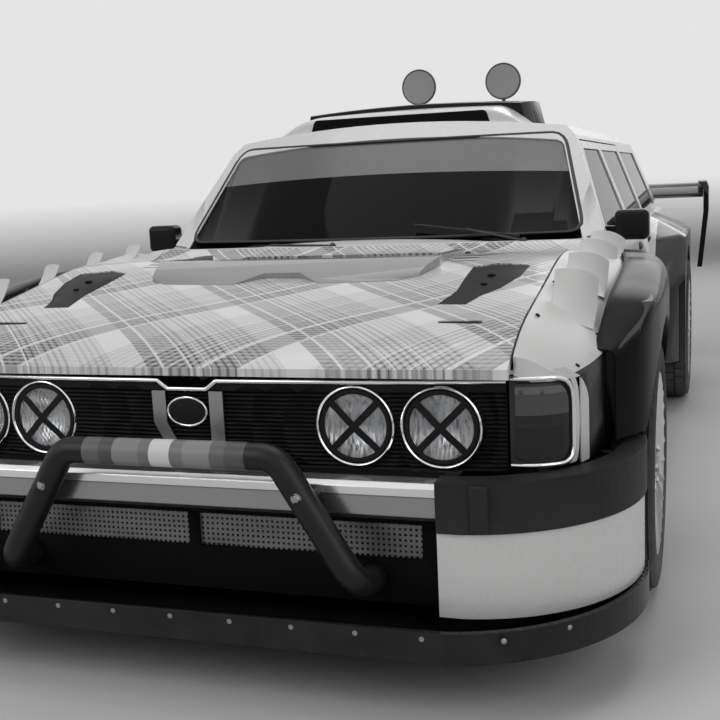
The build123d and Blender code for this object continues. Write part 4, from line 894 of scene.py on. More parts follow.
def slab(low: Sequence[float], high: Sequence[float], round_by: float) -> Patch:
    """A block with round edges: stacked rounded rectangles that draw in below and above.

    Args:
        low: Its lowest corner.
        high: Its highest corner.
        round_by: Radius of its edges.

    Returns:
        The surface.
    """
    low_corner, high_corner = np.asarray(low, float), np.asarray(high, float)
    middle, core = (low_corner + high_corner) / 2, (high_corner - low_corner) / 2 - round_by
    turn = (np.arange(32) + 0.5) * 2 * pi / 32
    level = np.linspace(-pi / 2, pi / 2, 10)[:, None]
    across = np.sign(np.cos(turn)) * core[0] + round_by * np.cos(turn) * np.cos(level)
    along = np.sign(np.sin(turn)) * core[1] + round_by * np.sin(turn) * np.cos(level)
    return Patch(middle + grid(across, along, np.sign(level) * core[2] + round_by * np.sin(level)), capped=True)


def dome(centre: Sequence[float], direction: Sequence[float], radius: float, height: float) -> Patch:
    """A low round head: its radius falls as the cosine and its height rises as the sine."""
    cap = [(height * np.sin(a), radius * np.cos(a)) for a in np.linspace(0, pi / 2, 4)]
    return turned([(-height * 0.5, 0.0), (-height * 0.5, radius), *cap], centre, direction, 12)


def hex_head(centre: Sequence[float], direction: Sequence[float], radius: float, height: float) -> list[Patch]:
    """A six-sided bolt head on a round washer.

    Args:
        centre: Where it sits.
        direction: The way it faces.
        radius: From its middle to a corner.
        height: How far it stands out.

    Returns:
        Washer and head.
    """
    rim = radius * 1.35
    head = [(0.0, 0.0), (0.0, radius), (height * 0.8, radius), (height, radius * 0.86), (height, 0.0)]
    return [turned([(-1.0, 0.0), (-1.0, rim), (1.2, rim), (1.2, 0.0)], centre, direction, 24),
            turned(head, centre, direction, 6)]


def strip(line: Grid, across: Grid, width: float, thick: float) -> Patch:
    """A flat strap with four corners at each point of its line.

    Args:
        line: Points along its middle.
        across: The way its width runs at each point.
        width: Its width.
        thick: Its thickness.

    Returns:
        The surface.
    """
    side = unit(across) * width / 2
    out = unit(np.cross(np.gradient(line, axis=0), side)) * thick / 2
    return Patch(np.stack([line - side - out, line + side - out, line + side + out, line - side + out], axis=1),
                 capped=True)


@dataclass
class PhotoCamera:
    """Camera at the photograph's place; yaw to the car's right, pitch down and roll are in degrees."""

    place: Point = (1.090, -4.147, 1.069)
    yaw: float = 18.80
    pitch: float = 9.45
    roll: float = -2.71
    lens: float = 54.025
    sensor: float = 36.0

    def build(self) -> None:
        """Makes the camera and hands it to the scene."""
        yaw, pitch, roll = (radians(angle) for angle in (self.yaw, self.pitch, self.roll))
        ahead = Vector((-np.sin(yaw) * np.cos(pitch), np.cos(yaw) * np.cos(pitch), -np.sin(pitch)))
        level = Vector((np.cos(yaw), np.sin(yaw), 0.0))
        upright = level.cross(ahead)
        right = level * np.cos(roll) + upright * np.sin(roll)
        up = upright * np.cos(roll) - level * np.sin(roll)
        data = bpy.data.cameras.new("photo_camera")
        data.lens, data.sensor_width, data.sensor_fit = self.lens, self.sensor, "HORIZONTAL"
        camera = link("photo_camera", data)
        camera.matrix_world = Matrix((right, up, -ahead)).transposed().to_4x4()
        camera.location = self.place
        bpy.context.scene.camera = camera


@dataclass(frozen=True)
class StageFinish:
    """Pale stage: takes shadows on the floor and turns to an even pale tone as the wall rises."""

    name: str = "studio_pale"
    level: float = 0.78
    turn_height: float = 0.9

    def material(self) -> bpy.types.Material:
        """Diffuse floor that blends by height to a tone that camera, glossy and transmission rays see."""
        graph = Graph(self.name)
        share = graph.seen() * (graph.axes()[2] / self.turn_height).clipped()
        speck = {"Color": graph.grey(graph.noise(3.0, 6.0) * 0.03 + (self.level - 0.015))}
        matt, glow = graph.node("BsdfDiffuse", {}, speck), graph.node("Emission", {}, speck)
        return graph.close(graph.node("MixShader", {}, {0: share, 1: matt, 2: glow}))


@dataclass
class Studio:
    """Pale round studio with soft lamps; each lamp has a name, a place, a size and a power."""

    floor_radius: float = 11000.0
    wall_radius: float = 15000.0
    wall_height: float = 7000.0
    sky: float = 0.24
    seen_sky: float = 0.78
    target: Point = (0.0, -0.6, 0.6)
    lamps: tuple[tuple[str, Point, float, float], ...] = (
        ("lamp_over_roof", (0.2, -0.5, 5.6), 5.0, 72.0),
        ("lamp_front_right", (-3.6, -6.2, 4.4), 4.6, 105.0),
        ("lamp_front_left", (4.8, -4.6, 3.6), 3.8, 52.0),
        ("lamp_behind", (1.5, 6.5, 4.4), 5.0, 75.0),
    )

    def build(self) -> None:
        """Builds floor and wall, the sky and the lamps."""
        reach = self.wall_radius - self.floor_radius
        curve = [(self.wall_height * (1 - np.cos(a)), self.floor_radius + reach * np.sin(a))
                 for a in np.linspace(0, pi / 2, 12)]
        rows = [(0.0, 0.0), (0.0, 1500.0), (0.0, 5000.0), *curve]
        mesh = to_mesh("studio_floor", [turned(rows, (0, NOSE_SHIFT, 0), (0, 0, 1), 96)])
        mesh.shade_smooth()
        mesh.materials.append(StageFinish().material())
        link("studio_floor", mesh)
        self._sky()
        for lamp in self.lamps:
            self._lamp(*lamp)

    def _sky(self) -> None:
        """Even pale world: one tone for what is seen or mirrored, a lower one as light."""
        world = bpy.data.worlds.new("studio_sky")
        graph = Graph("studio_sky", world)
        level = graph.mix(graph.seen(), tone(self.sky), tone(self.seen_sky))
        graph.close(graph.node("Background", {}, {"Color": level}))
        bpy.context.scene.world = world

    def _lamp(self, name: str, place: Point, size: float, power: float) -> None:
        """Adds a round soft lamp that faces the car's middle.

        Args:
            name: Its name.
            place: Where it stands.
            size: Its width in metres.
            power: Its power in watts.
        """
        data = bpy.data.lights.new(name, "AREA")
        data.shape, data.size, data.energy = "DISK", size, power
        lamp = link(name, data)
        lamp.matrix_world = (Vector(self.target) - Vector(place)).to_track_quat("-Z", "Y").to_matrix().to_4x4()
        lamp.location = place


@dataclass
class Skins:
    """The CAD nodes that keep their own form, by finish."""

    nodes: tuple[tuple[Finish, str], ...] = (
        (WHITE_PAINT, "body_shell tailgate front_valance front_door_left front_door_right"),
        (DOOR_PAINT, "rear_door_left rear_door_right"),
        (FENDER_PAINT, "front_fenders"),
        (PLAID, "bonnet"),
        (SILVER_PAINT, "bonnet_duct"),
        (SIDE_GLASS, "front_door_glass_left rear_door_glass_left front_door_glass_right rear_door_glass_right "
                     "quarter_glass tailgate_glass"),
        (SCREEN_GLASS, "windscreen"),
        (GLOSS_BLACK, "mirror_left mirror_right wheel_arch_flares rear_wing diffuser roof_pod splitter"),
        (BUMPER_RUBBER, "side_skirts rear_bumper bumper_caps"),
        (DEEP_BLACK, "bonnet_vents front_panel"),
        (MATT_BLACK, "grille dashboard"),
        (BUMPER_CHROME, "front_bumper"),
        (BAR_BANDS, "bull_bar"),
        (TAIL_LENS, "tail_lamps"),
        (CAGE_PAINT, "roll_cage"),
        (DARK_METAL, "front_chassis radiator"),
        (IRON, "engine_block"),
        (STEEL, "grille_badge front_suspension rear_suspension front_upright_left front_upright_right"),
    )
    weld: float = 2e-5
    crease: float = 28.0

    def build(self) -> None:
        """Gives each node a skin: its surface, merged and smoothed, under a name of its own."""
        for finish, nodes in self.nodes:
            for node in nodes.split():
                source = frame["nodes"][node]
                mesh = source.data.copy()
                mesh.name = f"{node}_skin"
                body = source.parent.name.removeprefix("body:")
                dress(welded(mesh, self.weld, False), finish, body, [node], self.crease)


@dataclass
class Bodywork:
    """Rivets, ribs, door handles, tailgate trim, curled fender plates, front flares and the roof scoop."""

    fender_rivets: tuple[Point, ...] = (
        (720, 293, 771), (720, 539, 815), (720, 764, 843), (813, 203, 680), (830, 410, 712))
    lip_face: float = -79.9
    lip_height: float = 190.0
    lip_pitch: float = 136.0
    lip_corners: tuple[tuple[Point, Point], ...] = (
        ((700.0, -55.0, 190.0), (0.4, -0.92, 0.0)), ((812.0, 36.0, 190.0), (0.72, -0.69, 0.0)))
    handles: Profile = (("front_door", 2196.0), ("rear_door", 2672.0))
    door_lean: float = 7.1
    flap_rows: tuple[tuple[float, ...], ...] = (
        (352, 752, 483, 850), (587, 794, 718, 868), (827, 824, 958, 884), (1060, 836, 1190, 892))
    flap_side: float = 731.0
    flap_width: Point = (94.0, 58.0, -29.0)
    flap_share: float = 110.0 / 114.2
    flap_sag: float = 12.0
    flap_bulge: float = 15.0
    axle: float = 790.0
    arch_centre: float = 325.0
    arch_radius: float = 378.5
    arch_foot: float = 262.0
    bumper_top: float = 494.0
    bumper_end: float = 446.0
    roundness: float = 0.62

    def build(self) -> None:
        """Builds the trim of the body in order."""
        self._rivets()
        build("bumper_cap_ribs", both([slab((628, -9.5, 383), (665, 6, 478), 4.0)]), BUMPER_RUBBER)
        self._door_handles()
        self._tailgate_trim()
        self._flaps()
        self._flare_covers()
        self._scoop()
        self._scoop_mesh()

    def _rivets(self) -> None:
        """Rivets along the fenders' tops and the splitter's lip."""
        heads = both(dome(place, (0.5, -0.15, 0.85), 5.5, 2.5) for place in self.fender_rivets)
        build("fender_rivets", heads, GLOSS_BLACK)
        lip = [dome((x, self.lip_face, self.lip_height), (0, -1, 0), 6.0, 0.3)
               for x in np.arange(-4, 5) * self.lip_pitch]
        corners = both(dome(place, facing, 6.0, 3.0) for place, facing in self.lip_corners)
        build("splitter_rivets", lip + corners, STEEL)

    def _door_handles(self) -> None:
        """A pull bar with a lock button on each door: an oval rod on two feet over a shallow rounded plate."""
        for node, start in self.handles:
            bar = rod(softened([(790, start, 772), (798, start + 8, 773), (799, start + 50, 773),
                                (798, start + 92, 773), (790, start + 100, 772)]), 3.5, rise=8.0)
            plan = [(start - 8, 757), (start + 108, 757), (start + 108, 789), (start - 8, 789)]
            rings = loop_rings(evened(rounded_outline(plan, (12,) * 4, 6), 72), 5)
            plate = Patch(grid(795.6 - (rings[..., 1] - 757) / self.door_lean, rings[..., 0], rings[..., 1]))
            lock = dome((790.5, start + 124, 775), (0.99, 0, 0.14), 8.0, 3.0)
            for side, sense in SIDES:
                build(f"{node}_handle_{side}", sided([bar, plate], sense), HANDLE_BLACK, f"{node}_{side}")
                build(f"{node}_lock_{side}", sided([lock], sense), CHROME, f"{node}_{side}")

    def _tailgate_trim(self) -> None:
        """Pull handle and a blank plate with four screws on the tailgate."""
        build("tailgate_handle", [slab((-92, 4214, 664), (92, 4226, 690), 4.0),
                                  slab((-78, 4222, 668), (78, 4236, 680), 4.0)], HANDLE_BLACK, "tailgate")
        plate = slab((-150, 4215, 548), (150, 4221.5, 622), 2.0)
        build("tailgate_blank_plate", [plate], FLAP_PAINT, "tailgate")
        screws = [dome((x, 4221.5, z), (0, 1, 0), 4.0, 1.6) for x in (-132, 132) for z in (560, 610)]
        build("tailgate_plate_screws", screws, STEEL, "tailgate")

    def _flaps(self) -> None:
        """Curled plates on the front fenders: each runs from foot to tip and bulges across its width."""
        u = np.linspace(0, 1, 14)[:, None, None]
        v = np.linspace(0, 1, 16)[None, :, None]
        width = np.array(self.flap_width) * self.flap_share
        sag = np.array([0.0, self.flap_sag, -self.flap_sag]) * 4 * u * (1 - u)
        plates: list[Patch] = []
        for row in self.flap_rows:
            foot, tip = (np.array([self.flap_side, *ends]) for ends in (row[:2], row[2:]))
            normal = unit(np.cross(width, tip - foot))
            normal = normal * np.sign(-normal[1])
            bulge = normal * self.flap_bulge * 4 * v * (1 - v) * (0.35 + 0.65 * u)
            face = foot + (tip - foot) * u + width * v + sag + bulge
            plates.append(walled(face, face - normal * 3.0))
        build("fender_flap_plates", both(plates), FLAP_PAINT, replaces=["fender_flaps"], crease=50)

    def _flare_covers(self) -> None:
        """Smooth front flares over the solid ones.

        At each station the section climbs from the arch's edge straight up to the shoulder, then follows a
        quarter of a squarish oval up and in to the fender; width and top height are smooth curves along it.
        """
        station = np.linspace(334, 1282, 72)[:, None]
        wide = np.minimum(flowing(station, (322, 420, 560, 700, 960, 1130, 1250, 1285),
                                  (870, 922, 950, 957, 957, 933, 884, 830)), 957.5)
        top = flowing(station, (334, 350, 520, 700, 1000, 1170, 1262, 1285),
                      (692, 697, 773, 804, 831, 822, 742, 590))
        inner = flowing(station, (334, 470, 700, 880, 1100, 1285), (832, 842, 850, 852, 830, 805))
        shoulder = np.minimum(752, top - 26)
        away = np.abs(station - self.axle)
        rim = self.arch_centre + np.sqrt(np.clip(self.arch_radius ** 2 - away ** 2, 0, None))
        arch = np.where(away < self.arch_radius - 0.1, rim, self.arch_foot)
        foot = np.where(station < self.bumper_end, np.maximum(arch, self.bumper_top), arch)
        foot = np.minimum(np.maximum(foot, self.arch_foot), shoulder - 4)
        rise, turn = np.linspace(0, 1, 8), np.linspace(0, pi / 2, 16)
        inwards, upwards = np.cos(turn) ** self.roundness, np.sin(turn) ** self.roundness
        x = np.hstack([wide + 0 * rise, inner + (wide - inner) * inwards])
        z = np.hstack([foot + (shoulder - foot) * rise, shoulder + (top - shoulder) * upwards])
        outer = grid(x, station, z)
        build("front_flare_covers", both([walled(outer, outer - (5.0, 0.0, 3.0))]), FLARE_GLOSS, crease=50)

    def _scoop(self) -> None:
        """Roof scoop: an upright front with a rounded top edge, a climbing top and sides that fair out.

        Across the car the height falls from the crest to the roof along a smooth step between X 322 and 517.
        """
        x = np.linspace(-519, 519, 121)
        fall = np.clip((np.abs(x) - 322) / 195, 0, 1)
        stand = 1 - fall * fall * (3 - 2 * fall)
        bend = np.linspace(0, pi / 2, 7)
        station = np.concatenate([np.full(8, 1752.0), 1760 - 8 * np.cos(bend), np.linspace(1762.0, 1950.0, 26),
                                  [1957.0, 1960.0, 1960.0]])[:, None]
        share = np.concatenate([np.linspace(0, 0.86, 8), 0.86 + 0.14 * np.sin(bend), np.ones(26),
                                [0.99, 0.9, 0.0]])[:, None]
        foot = 1234 - 0.000115 * x ** 2
        crest = flowing(station, (1752, 1830, 1960), (1292, 1304, 1316)) - 0.00006 * x ** 2
        skin = Patch(grid(x, station, foot + (crest - foot) * stand * share), wrap_columns=False)
        build("roof_scoop_fairing", [skin], WHITE_PAINT, replaces=["roof_scoop"], crease=50)

    def _scoop_mesh(self) -> None:
        """Black sheet across the roof scoop's closed mouth, painted shade standing for the dark opening: rings
        of its outline drawn in, dished towards the middle.
        """
        outline = rounded_outline([(-324, 1236), (334, 1236), (318, 1285), (-306, 1285)], (8, 8, 12, 12), 6)
        rings = loop_rings(outline, 8)
        arch = 6.0 * (1 - (rings[..., 0] / 330) ** 2) * ((rings[..., 1] - 1236) / 49)
        depth = 1749.5 + 1.2 * np.linspace(0, 1, 8)[:, None]
        # This black sheet on the closed front is painted shade in place of the opening's dark inside.
        build("scoop_mouth_insert", [Patch(grid(rings[..., 0], depth, rings[..., 1] + arch))], DEEP_BLACK)


@dataclass
class Bonnet:
    """Covers and studs of the bonnet's vents; a stud is (X, station, radius, height)."""

    stations: tuple[float, ...] = (64, 130, 240, 470, 700, 880, 1288)
    edges: tuple[float, ...] = (694, 731, 766, 806, 846, 861, 866)
    crowns: tuple[float, ...] = (690, 726, 758, 796, 838, 855, 862)
    half: float = 697.0
    vent: Profile = (
        (482, 374), (547, 365), (567, 433), (602, 495), (632, 592), (640, 689), (558, 724), (496, 693),
        (497, 594), (501, 482))
    slot: Profile = ((516, 238), (604, 229), (614, 235), (605, 247), (517, 250))
    studs: tuple[tuple[float, ...], ...] = ((560.0, 600.0, 11.0, 5.0), (556.0, 530.0, 9.0, 4.0))

    def height(self, x: Grid | float, station: Grid | float) -> Grid:
        """Height of the bonnet: crown height in the middle, rising to the edge's with the square of X."""
        edge, crown = (flowing(station, self.stations, values) for values in (self.edges, self.crowns))
        return crown + (edge - crown) * (x / self.half) ** 2

    def cover(self, outline: Profile, radius: float, sink: float, crown: float) -> Patch:
        """A panel in an opening: rings of the outline drawn in to its middle, laid just under the bonnet.

        Args:
            outline: Corners as (X, station).
            radius: Rounding of the corners.
            sink: How far its edge lies under the bonnet.
            crown: How far its middle rises over its edge.

        Returns:
            The panel with a skirt at its edge.
        """
        rings = loop_rings(rounded_outline(outline, [radius] * len(outline), 5), 12)
        swell = crown * np.sin(np.linspace(0, 1, 12)[:, None] * pi / 2) ** 0.7
        top = grid(rings[..., 0], rings[..., 1], self.height(rings[..., 0], rings[..., 1]) - sink + swell)
        return Patch(np.concatenate([top[:1] - (0.0, 0.0, 9.0), top]))

    def build(self) -> None:
        """Lays the vent covers in their openings and sets the studs."""
        covers = [self.cover(self.vent, 12.0, 3.0, 3.5), self.cover(self.slot, 4.0, 2.0, 1.5)]
        build("bonnet_vent_covers", both(covers), VENT_BLACK, "bonnet")
        studs = both(dome((x, station, self.height(x, station)), (0, 0, 1), radius, height)
                     for x, station, radius, height in self.studs)
        build("bonnet_vent_studs", studs, DEEP_BLACK, "bonnet")


@dataclass
class Headlamp:
    """One round lamp: a fluted bowl, a domed lens, a bulb, a black ring and a taped cross."""

    half: float
    station: float
    height: float = 570.0
    lens_radius: float = 70.5
    bulge: float = 9.0
    bowl_depth: float = 36.0
    ring_outer: float = 77.9
    tape_width: float = 15.0
    tape_reach: float = 75.0

    def turn(self, profile: Profile, steps: int = 64, closed: bool = False) -> Patch:
        """A profile turned about the lamp's middle."""
        return turned(profile, (self.half, self.station, self.height), (0, 1, 0), steps, closed)

    def lens(self) -> Patch:
        """Closed lens: its front falls back with the square of the radius, its back is shallower."""
        share = np.linspace(0, 1, 12)
        front = [(-self.bulge * (1 - s * s), self.lens_radius * s) for s in share]
        back = [(4.0 - self.bulge * 0.8 * (1 - s * s), self.lens_radius * s) for s in share[::-1]]
        return self.turn(front + back)

    def bowl(self) -> Patch:
        """Closed reflector: a parabola inside a drum."""
        drum = self.ring_outer - 1.0
        reach = self.lens_radius - 1.0
        inside = [(6.0 + self.bowl_depth * (1 - s * s), reach * s) for s in np.linspace(0, 1, 16)]
        return self.turn([*inside, (6.0, drum), (59.0, drum), (59.0, 0.0)])

    def bulb(self) -> Patch:
        """Small capsule at the bowl's focus."""
        return self.turn([(26.0 - 13.0 * np.cos(a), 5.5 * np.sin(a)) for a in np.linspace(0, pi, 9)], 16)

    def ring(self) -> Patch:
        """Black ring between lens and chrome, rounded on its front."""
        inner, outer = self.lens_radius - 4.0, self.ring_outer
        return self.turn([
            (5.5, inner + 4.6), (-1.5, inner + 0.5), (-4.2, inner + 2.5), (-4.8, (inner + outer) / 2),
            (-3.6, outer - 1.5), (5.5, outer)], closed=True)

    def chrome(self) -> Patch:
        """Bright ring round the lamp."""
        return self.turn([(20, 78.4), (-3, 78.4), (-5.6, 80.0), (-7.2, 82.4), (-5.4, 84.9), (-1.0, 86.0),
                          (20, 86.0)], 80, closed=True)

    def tape(self, sense: float) -> Patch:
        """One strip of the cross, lying on the lens and the ring.

        Args:
            sense: 1 where it rises to the left, -1 where it rises to the right.

        Returns:
            The strip.
        """
        along = np.linspace(-self.tape_reach, self.tape_reach, 25)
        ahead = np.maximum(self.bulge * (1 - (along / self.lens_radius) ** 2), 4.9) + 0.9
        slope = 0.5 ** 0.5
        path = grid(self.half + sense * along * slope, self.station - ahead, self.height + along * slope)
        return strip(path, np.array([-sense * slope, 0.0, slope]) + 0 * path, self.tape_width, 0.8)


@dataclass
class Nose:
    """Lamps, chrome, badge, intake wire and fasteners."""

    lamp_places: Profile = ((374.0, 82.0), (555.0, 88.0), (-374.0, 82.0), (-555.0, 88.0))
    badge_half: float = 46.0
    badge_rise: float = 31.0
    badge_station: float = 61.0
    badge_height: float = 596.0
    intake_half: float = 515.0
    intake_heights: tuple[float, float] = (299.0, 373.0)
    intake_station: float = 62.5
    wrap: tuple[tuple[float, ...], ...] = (
        (0.0, 16.0, 50.0, 81.0, 109.0, 148.0, 190.0),
        (690.0, 706.0, 740.0, 768.0, 790.0, 812.0, 830.0),
        (104.5, 104.0, 108.6, 121.0, 138.5, 171.0, 208.7),
        (0.0, 0.05, 0.27, 0.50, 0.70, 0.87, 0.94))
    gap_width: float = 11.0
    bolts: tuple[tuple[Point, Point], ...] = (
        ((-292, -71, 456), (-0.1, -1, 0)), ((296, -71, 456), (0.1, -1, 0)))

    def build(self) -> None:
        """Builds the nose."""
        self._lamps()
        self._corner_lamps()
        self._badge()
        self._intake()
        self._fasteners()

    def _lamps(self) -> None:
        """The four headlamps, one piece for each of their parts, and the bright strip over the grille."""
        lamps = [Headlamp(half, station) for half, station in self.lamp_places]
        x = np.concatenate([np.linspace(-684, -75, 40), np.linspace(-70, 70, 29), np.linspace(75, 684, 40)])
        dip = np.clip((70 - np.abs(x)) / 24, 0, 1) * 18
        bar = rod(grid(x, 66.5 + 40 * (x / 684) ** 2, 662.5 - dip), 5.2, rise=5.0)
        rings = [lamp.chrome() for lamp in lamps]
        build("grille_chrome_strip", [bar, *rings], CHROME, replaces=["chrome_trim"])
        build("headlamp_lenses", [lamp.lens() for lamp in lamps], LAMP_GLASS, replaces=["headlamps"])
        # The bowls' finish carries painted glints in its colour.
        build("headlamp_bowls", [lamp.bowl() for lamp in lamps], PAINTED_GLINT_REFLECTOR)
        build("headlamp_bulbs", [lamp.bulb() for lamp in lamps], CHROME)
        build("headlamp_black_rings", [lamp.ring() for lamp in lamps], MATT_BLACK)
        tapes = [lamp.tape(sense) for lamp in lamps for sense in (1.0, -1.0)]
        build("headlamp_tape_crosses", tapes, MATT_BLACK)

    def _wrapped(self, outline: Grid, lift: float) -> Grid:
        """Lays a flat outline on the corner's wrap, lift millimetres outside it.

        Args:
            outline: Points (distance round the corner, Z).
            lift: How far outside the wrap they lie.

        Returns:
            Points (X, station, Z).
        """
        reach, *curves = self.wrap
        x, station, lean = (flowing(outline[..., 0], reach, curve) for curve in curves)
        return grid(x + lean * lift, station - np.sqrt(1 - lean ** 2) * lift, outline[..., 1])

    def _corner_lamps(self) -> None:
        """Corner lamps: lens, black seat, bright frame open towards the grille, dark gap and white band."""
        outline = evened(rounded_outline([(0, 493), (140, 493), (140, 669), (0, 669)], (1, 36, 60, 1), 14), 160)
        open_frame = outline[outline[:, 0] > 1.0]
        build("corner_lamp_frames", both([rod(self._wrapped(open_frame, 1.0), 5.0, rise=5.4)]), CHROME)
        inset = evened(rounded_outline([(12, 504), (128, 504), (128, 658), (12, 658)], (5, 28, 50, 5), 12), 120)
        rim = np.stack([self._wrapped(inset, -1.0), self._wrapped(inset, -15.0)])
        lens = [Patch(self._wrapped(loop_rings(inset, 12), -1.0)), Patch(rim)]
        build("corner_lamp_lenses", both(lens), CORNER_LENS, replaces=["corner_lamps"])
        outwards = unit(outline - outline.mean(axis=0))
        seat = loop_rings(np.maximum(outline + outwards * self.gap_width, (0.0, 488.0)), 10)
        build("corner_lamp_seats", both([Patch(self._wrapped(seat, -7.0))]), SEAL_RUBBER)
        band = outline + outwards * np.linspace(10.0, 24.0, 6)[:, None, None]
        band = np.clip(band, (0.0, 488.0), (164.0, 686.0))
        build("corner_lamp_surrounds", both([Patch(self._wrapped(band, -1.2))]), WHITE_PAINT)

    def _badge(self) -> None:
        """Bright rim round the blank oval badge and its shallow dome."""
        angle = round_angles(64)
        rim = grid(self.badge_half * np.cos(angle), self.badge_station + 0.6,
                   self.badge_height + self.badge_rise * np.sin(angle))
        build("badge_rim", [rod(rim, 2.4, 10, closed=True)], CHROME)
        s = np.linspace(0, 1, 10)[:, None]
        enamel = grid((self.badge_half - 2) * s * np.cos(angle), self.badge_station - 3.0 * (1 - s * s),
                      self.badge_height + (self.badge_rise - 2) * s * np.sin(angle))
        build("badge_enamel", [Patch(enamel)], MATT_BLACK)

    def _intake(self) -> None:
        """Woven wire across the intake: a sheet that waves a little in depth."""
        x = np.linspace(-self.intake_half, self.intake_half, 90)
        z = np.linspace(*self.intake_heights, 12)[:, None]
        station = self.intake_station + 1.1 * np.sin(x / 37.0) * np.sin(z / 11.0)
        build("intake_wire", [Patch(grid(x, station, z), wrap_columns=False)], INTAKE_MESH)

    def _fasteners(self) -> None:
        """Bull bar clamp bolts and the corner lamps' screws."""
        build("bull_bar_bolts", [part for bolt in self.bolts for part in hex_head(*bolt, 8.0, 5.0)], STEEL)
        places = self._wrapped(np.array([[24.0, 641.0], [66.0, 641.0]]), -0.5)
        facings = ((0.1, -1, 0), (0.35, -0.93, 0))
        screws = both(dome(place, facing, 4.5, 2.0) for place, facing in zip(places, facings))
        build("corner_lamp_screws", screws, DARK_METAL)


@dataclass
class RoadWheel:
    """Tyre with blocks, finned disc, barrel, hub and brake."""

    name: str
    axle: float
    sense: float
    half_track: float = 824.0
    height: float = 325.0
    tread_radius: float = 324.6
    tread_half: float = 103.0
    groove: float = 9.0
    pitches: int = 40
    fins: int = 24
    fin_rise: float = 9.5
    cover_radius: float = 223.5
    bolt_ring: float = 44.0

    def _lay(self, along: Grid, radius: Grid, angle: Grid, closed: bool = False) -> Patch:
        """A surface about the axle.

        Args:
            along: Distance outwards of each point.
            radius: Its distance from the axle.
            angle: Its angle.
            closed: Whether the last row joins the first.

        Returns:
            The surface.
        """
        axis = (self.sense, 0.0, 0.0)
        along, radius, angle = np.broadcast_arrays(along, radius, angle)
        centre = np.array([self.sense * self.half_track, self.axle, self.height])
        spread = along[..., None] * axis + radius[..., None] * circle(axis, angle)
        return Patch(centre + spread, wrap_rows=closed)

    def _turn(self, profile: Profile, steps: int, closed: bool = False) -> Patch:
        """A profile turned about the axle."""
        along, radius = np.asarray(profile, float).T[..., None]
        return self._lay(along, radius, round_angles(steps), closed)

    def tyre(self) -> Patch:
        """Tyre: an outline across the tread, raised by blocks.

        Across the tread five rows of blocks stand on the groove floor, every other row shifted by half a pitch;
        a point is raised where both its place in the row and its place in the pitch lie inside a block.
        """
        wall_x = np.array([-108, -116, -120.5, -121.5, -120, -115, -108])[:, None]
        wall_r = np.array([233.5, 240, 256, 274, 292, 306, 314])[:, None]
        cuts = np.array([0.0, 0.012, 0.185, 0.197, 0.208, 0.220, 0.39, 0.402, 0.414, 0.426, 0.574, 0.586,
                         0.598, 0.61, 0.78, 0.792, 0.803, 0.815, 0.988, 1.0])[:, None]
        columns = np.array([0.0, 0.05, 0.40, 0.45, 0.5, 0.55, 0.90, 0.95])
        share = (np.arange(self.pitches)[:, None] + columns).ravel() / self.pitches
        phase = np.tile(columns, self.pitches)
        shifted = (phase + 0.5 * (np.repeat(np.arange(5), 4)[:, None] % 2)) % 1.0
        block = np.array([0, 1, 1, 0] * 5)[:, None] * ((shifted > 0.04) & (shifted < 0.91))
        tread_x = self.tread_half * (2 * cuts - 1)
        tread_r = self.tread_radius - 4.0 * (tread_x / self.tread_half) ** 2 - self.groove * (1 - block)
        bulge = np.array([0, 0, 0, 0, 0.2, 1.0, 0.5])[:, None] * 2.2 * np.isin(np.round(phase * 100), (5, 40))
        left_x, left_r = wall_x - bulge * 0.3, wall_r + bulge
        along = np.vstack([left_x, tread_x + 0 * share, -left_x[::-1]])
        return self._lay(along, np.vstack([left_r, tread_r, left_r[::-1]]), share * 2 * pi, closed=True)

    def fan_disc(self) -> Patch:
        """Finned cover with a flat back: a dish whose surface climbs along each fin and drops at its edge.

        Within one fin the height rises evenly with the angle and falls back over the last tenth; the rise fades
        out towards the hub and towards the lip.
        """
        rim = self.cover_radius
        radius = np.array([0.0, 30, 58, 66, 84, 96, 110, 135, 160, 185, 204, 212, 216, rim, rim, 0.0])
        dish = np.array([107, 107, 107, 101, 101, 102, 103, 105, 107, 109, 110.5, 111, 116, 116, 96, 96])
        fade = np.array([0, 0, 0, 0, 0, 0, 0.6, 1, 1, 1, 1, 0.9, 0, 0, 0, 0])
        steps = np.array([0.0, 0.15, 0.3, 0.45, 0.6, 0.75, 0.88, 0.90])
        share = (np.arange(self.fins)[:, None] + steps).ravel() / self.fins
        climb = np.tile(np.append(steps[:-1] / 0.88, 0.0), self.fins) * self.fin_rise
        return self._lay(dish[:, None] + fade[:, None] * climb, radius[:, None], share * 2 * pi)

    def barrel(self) -> Patch:
        """Rim barrel with a rounded lip at each side and a drop in its middle, as a closed wall."""
        outside = [(-114, 231), (-106, 231.8), (-98, 229), (-60, 226), (-40, 222), (20, 222), (50, 227),
                   (98, 229), (108, 231.8), (116, 231)]
        inside = [(along, radius - 7.5) for along, radius in reversed(outside)]
        return self._turn(outside + inside, 72, closed=True)

    def brake(self) -> list[Patch]:
        """Brake disc with its hub, behind the cover."""
        disc = [(20, 62), (20, 156), (24, 158), (30, 158), (34, 156), (34, 62)]
        hub = [(14, 20.5), (14, 48), (60, 48), (90, 40), (95.5, 34), (95.5, 20.5)]
        return [self._turn(disc, 64, closed=True), self._turn(hub, 32, closed=True)]

    def fasteners(self) -> list[Patch]:
        """Centre nut and five wheel bolts on the cover."""
        axis = np.array([self.sense, 0.0, 0.0])
        middle = np.array([self.sense * (self.half_track + 107), self.axle, self.height])
        nut = [(106.5, 0), (106.5, 24), (113, 24), (115.5, 21), (115.5, 10), (112, 8), (112, 0)]
        parts = [self._turn(nut, 6)]
        for spoke in circle(axis, round_angles(5)):
            parts += hex_head(middle + self.bolt_ring * spoke, axis, 7.5, 8.0)
        return parts

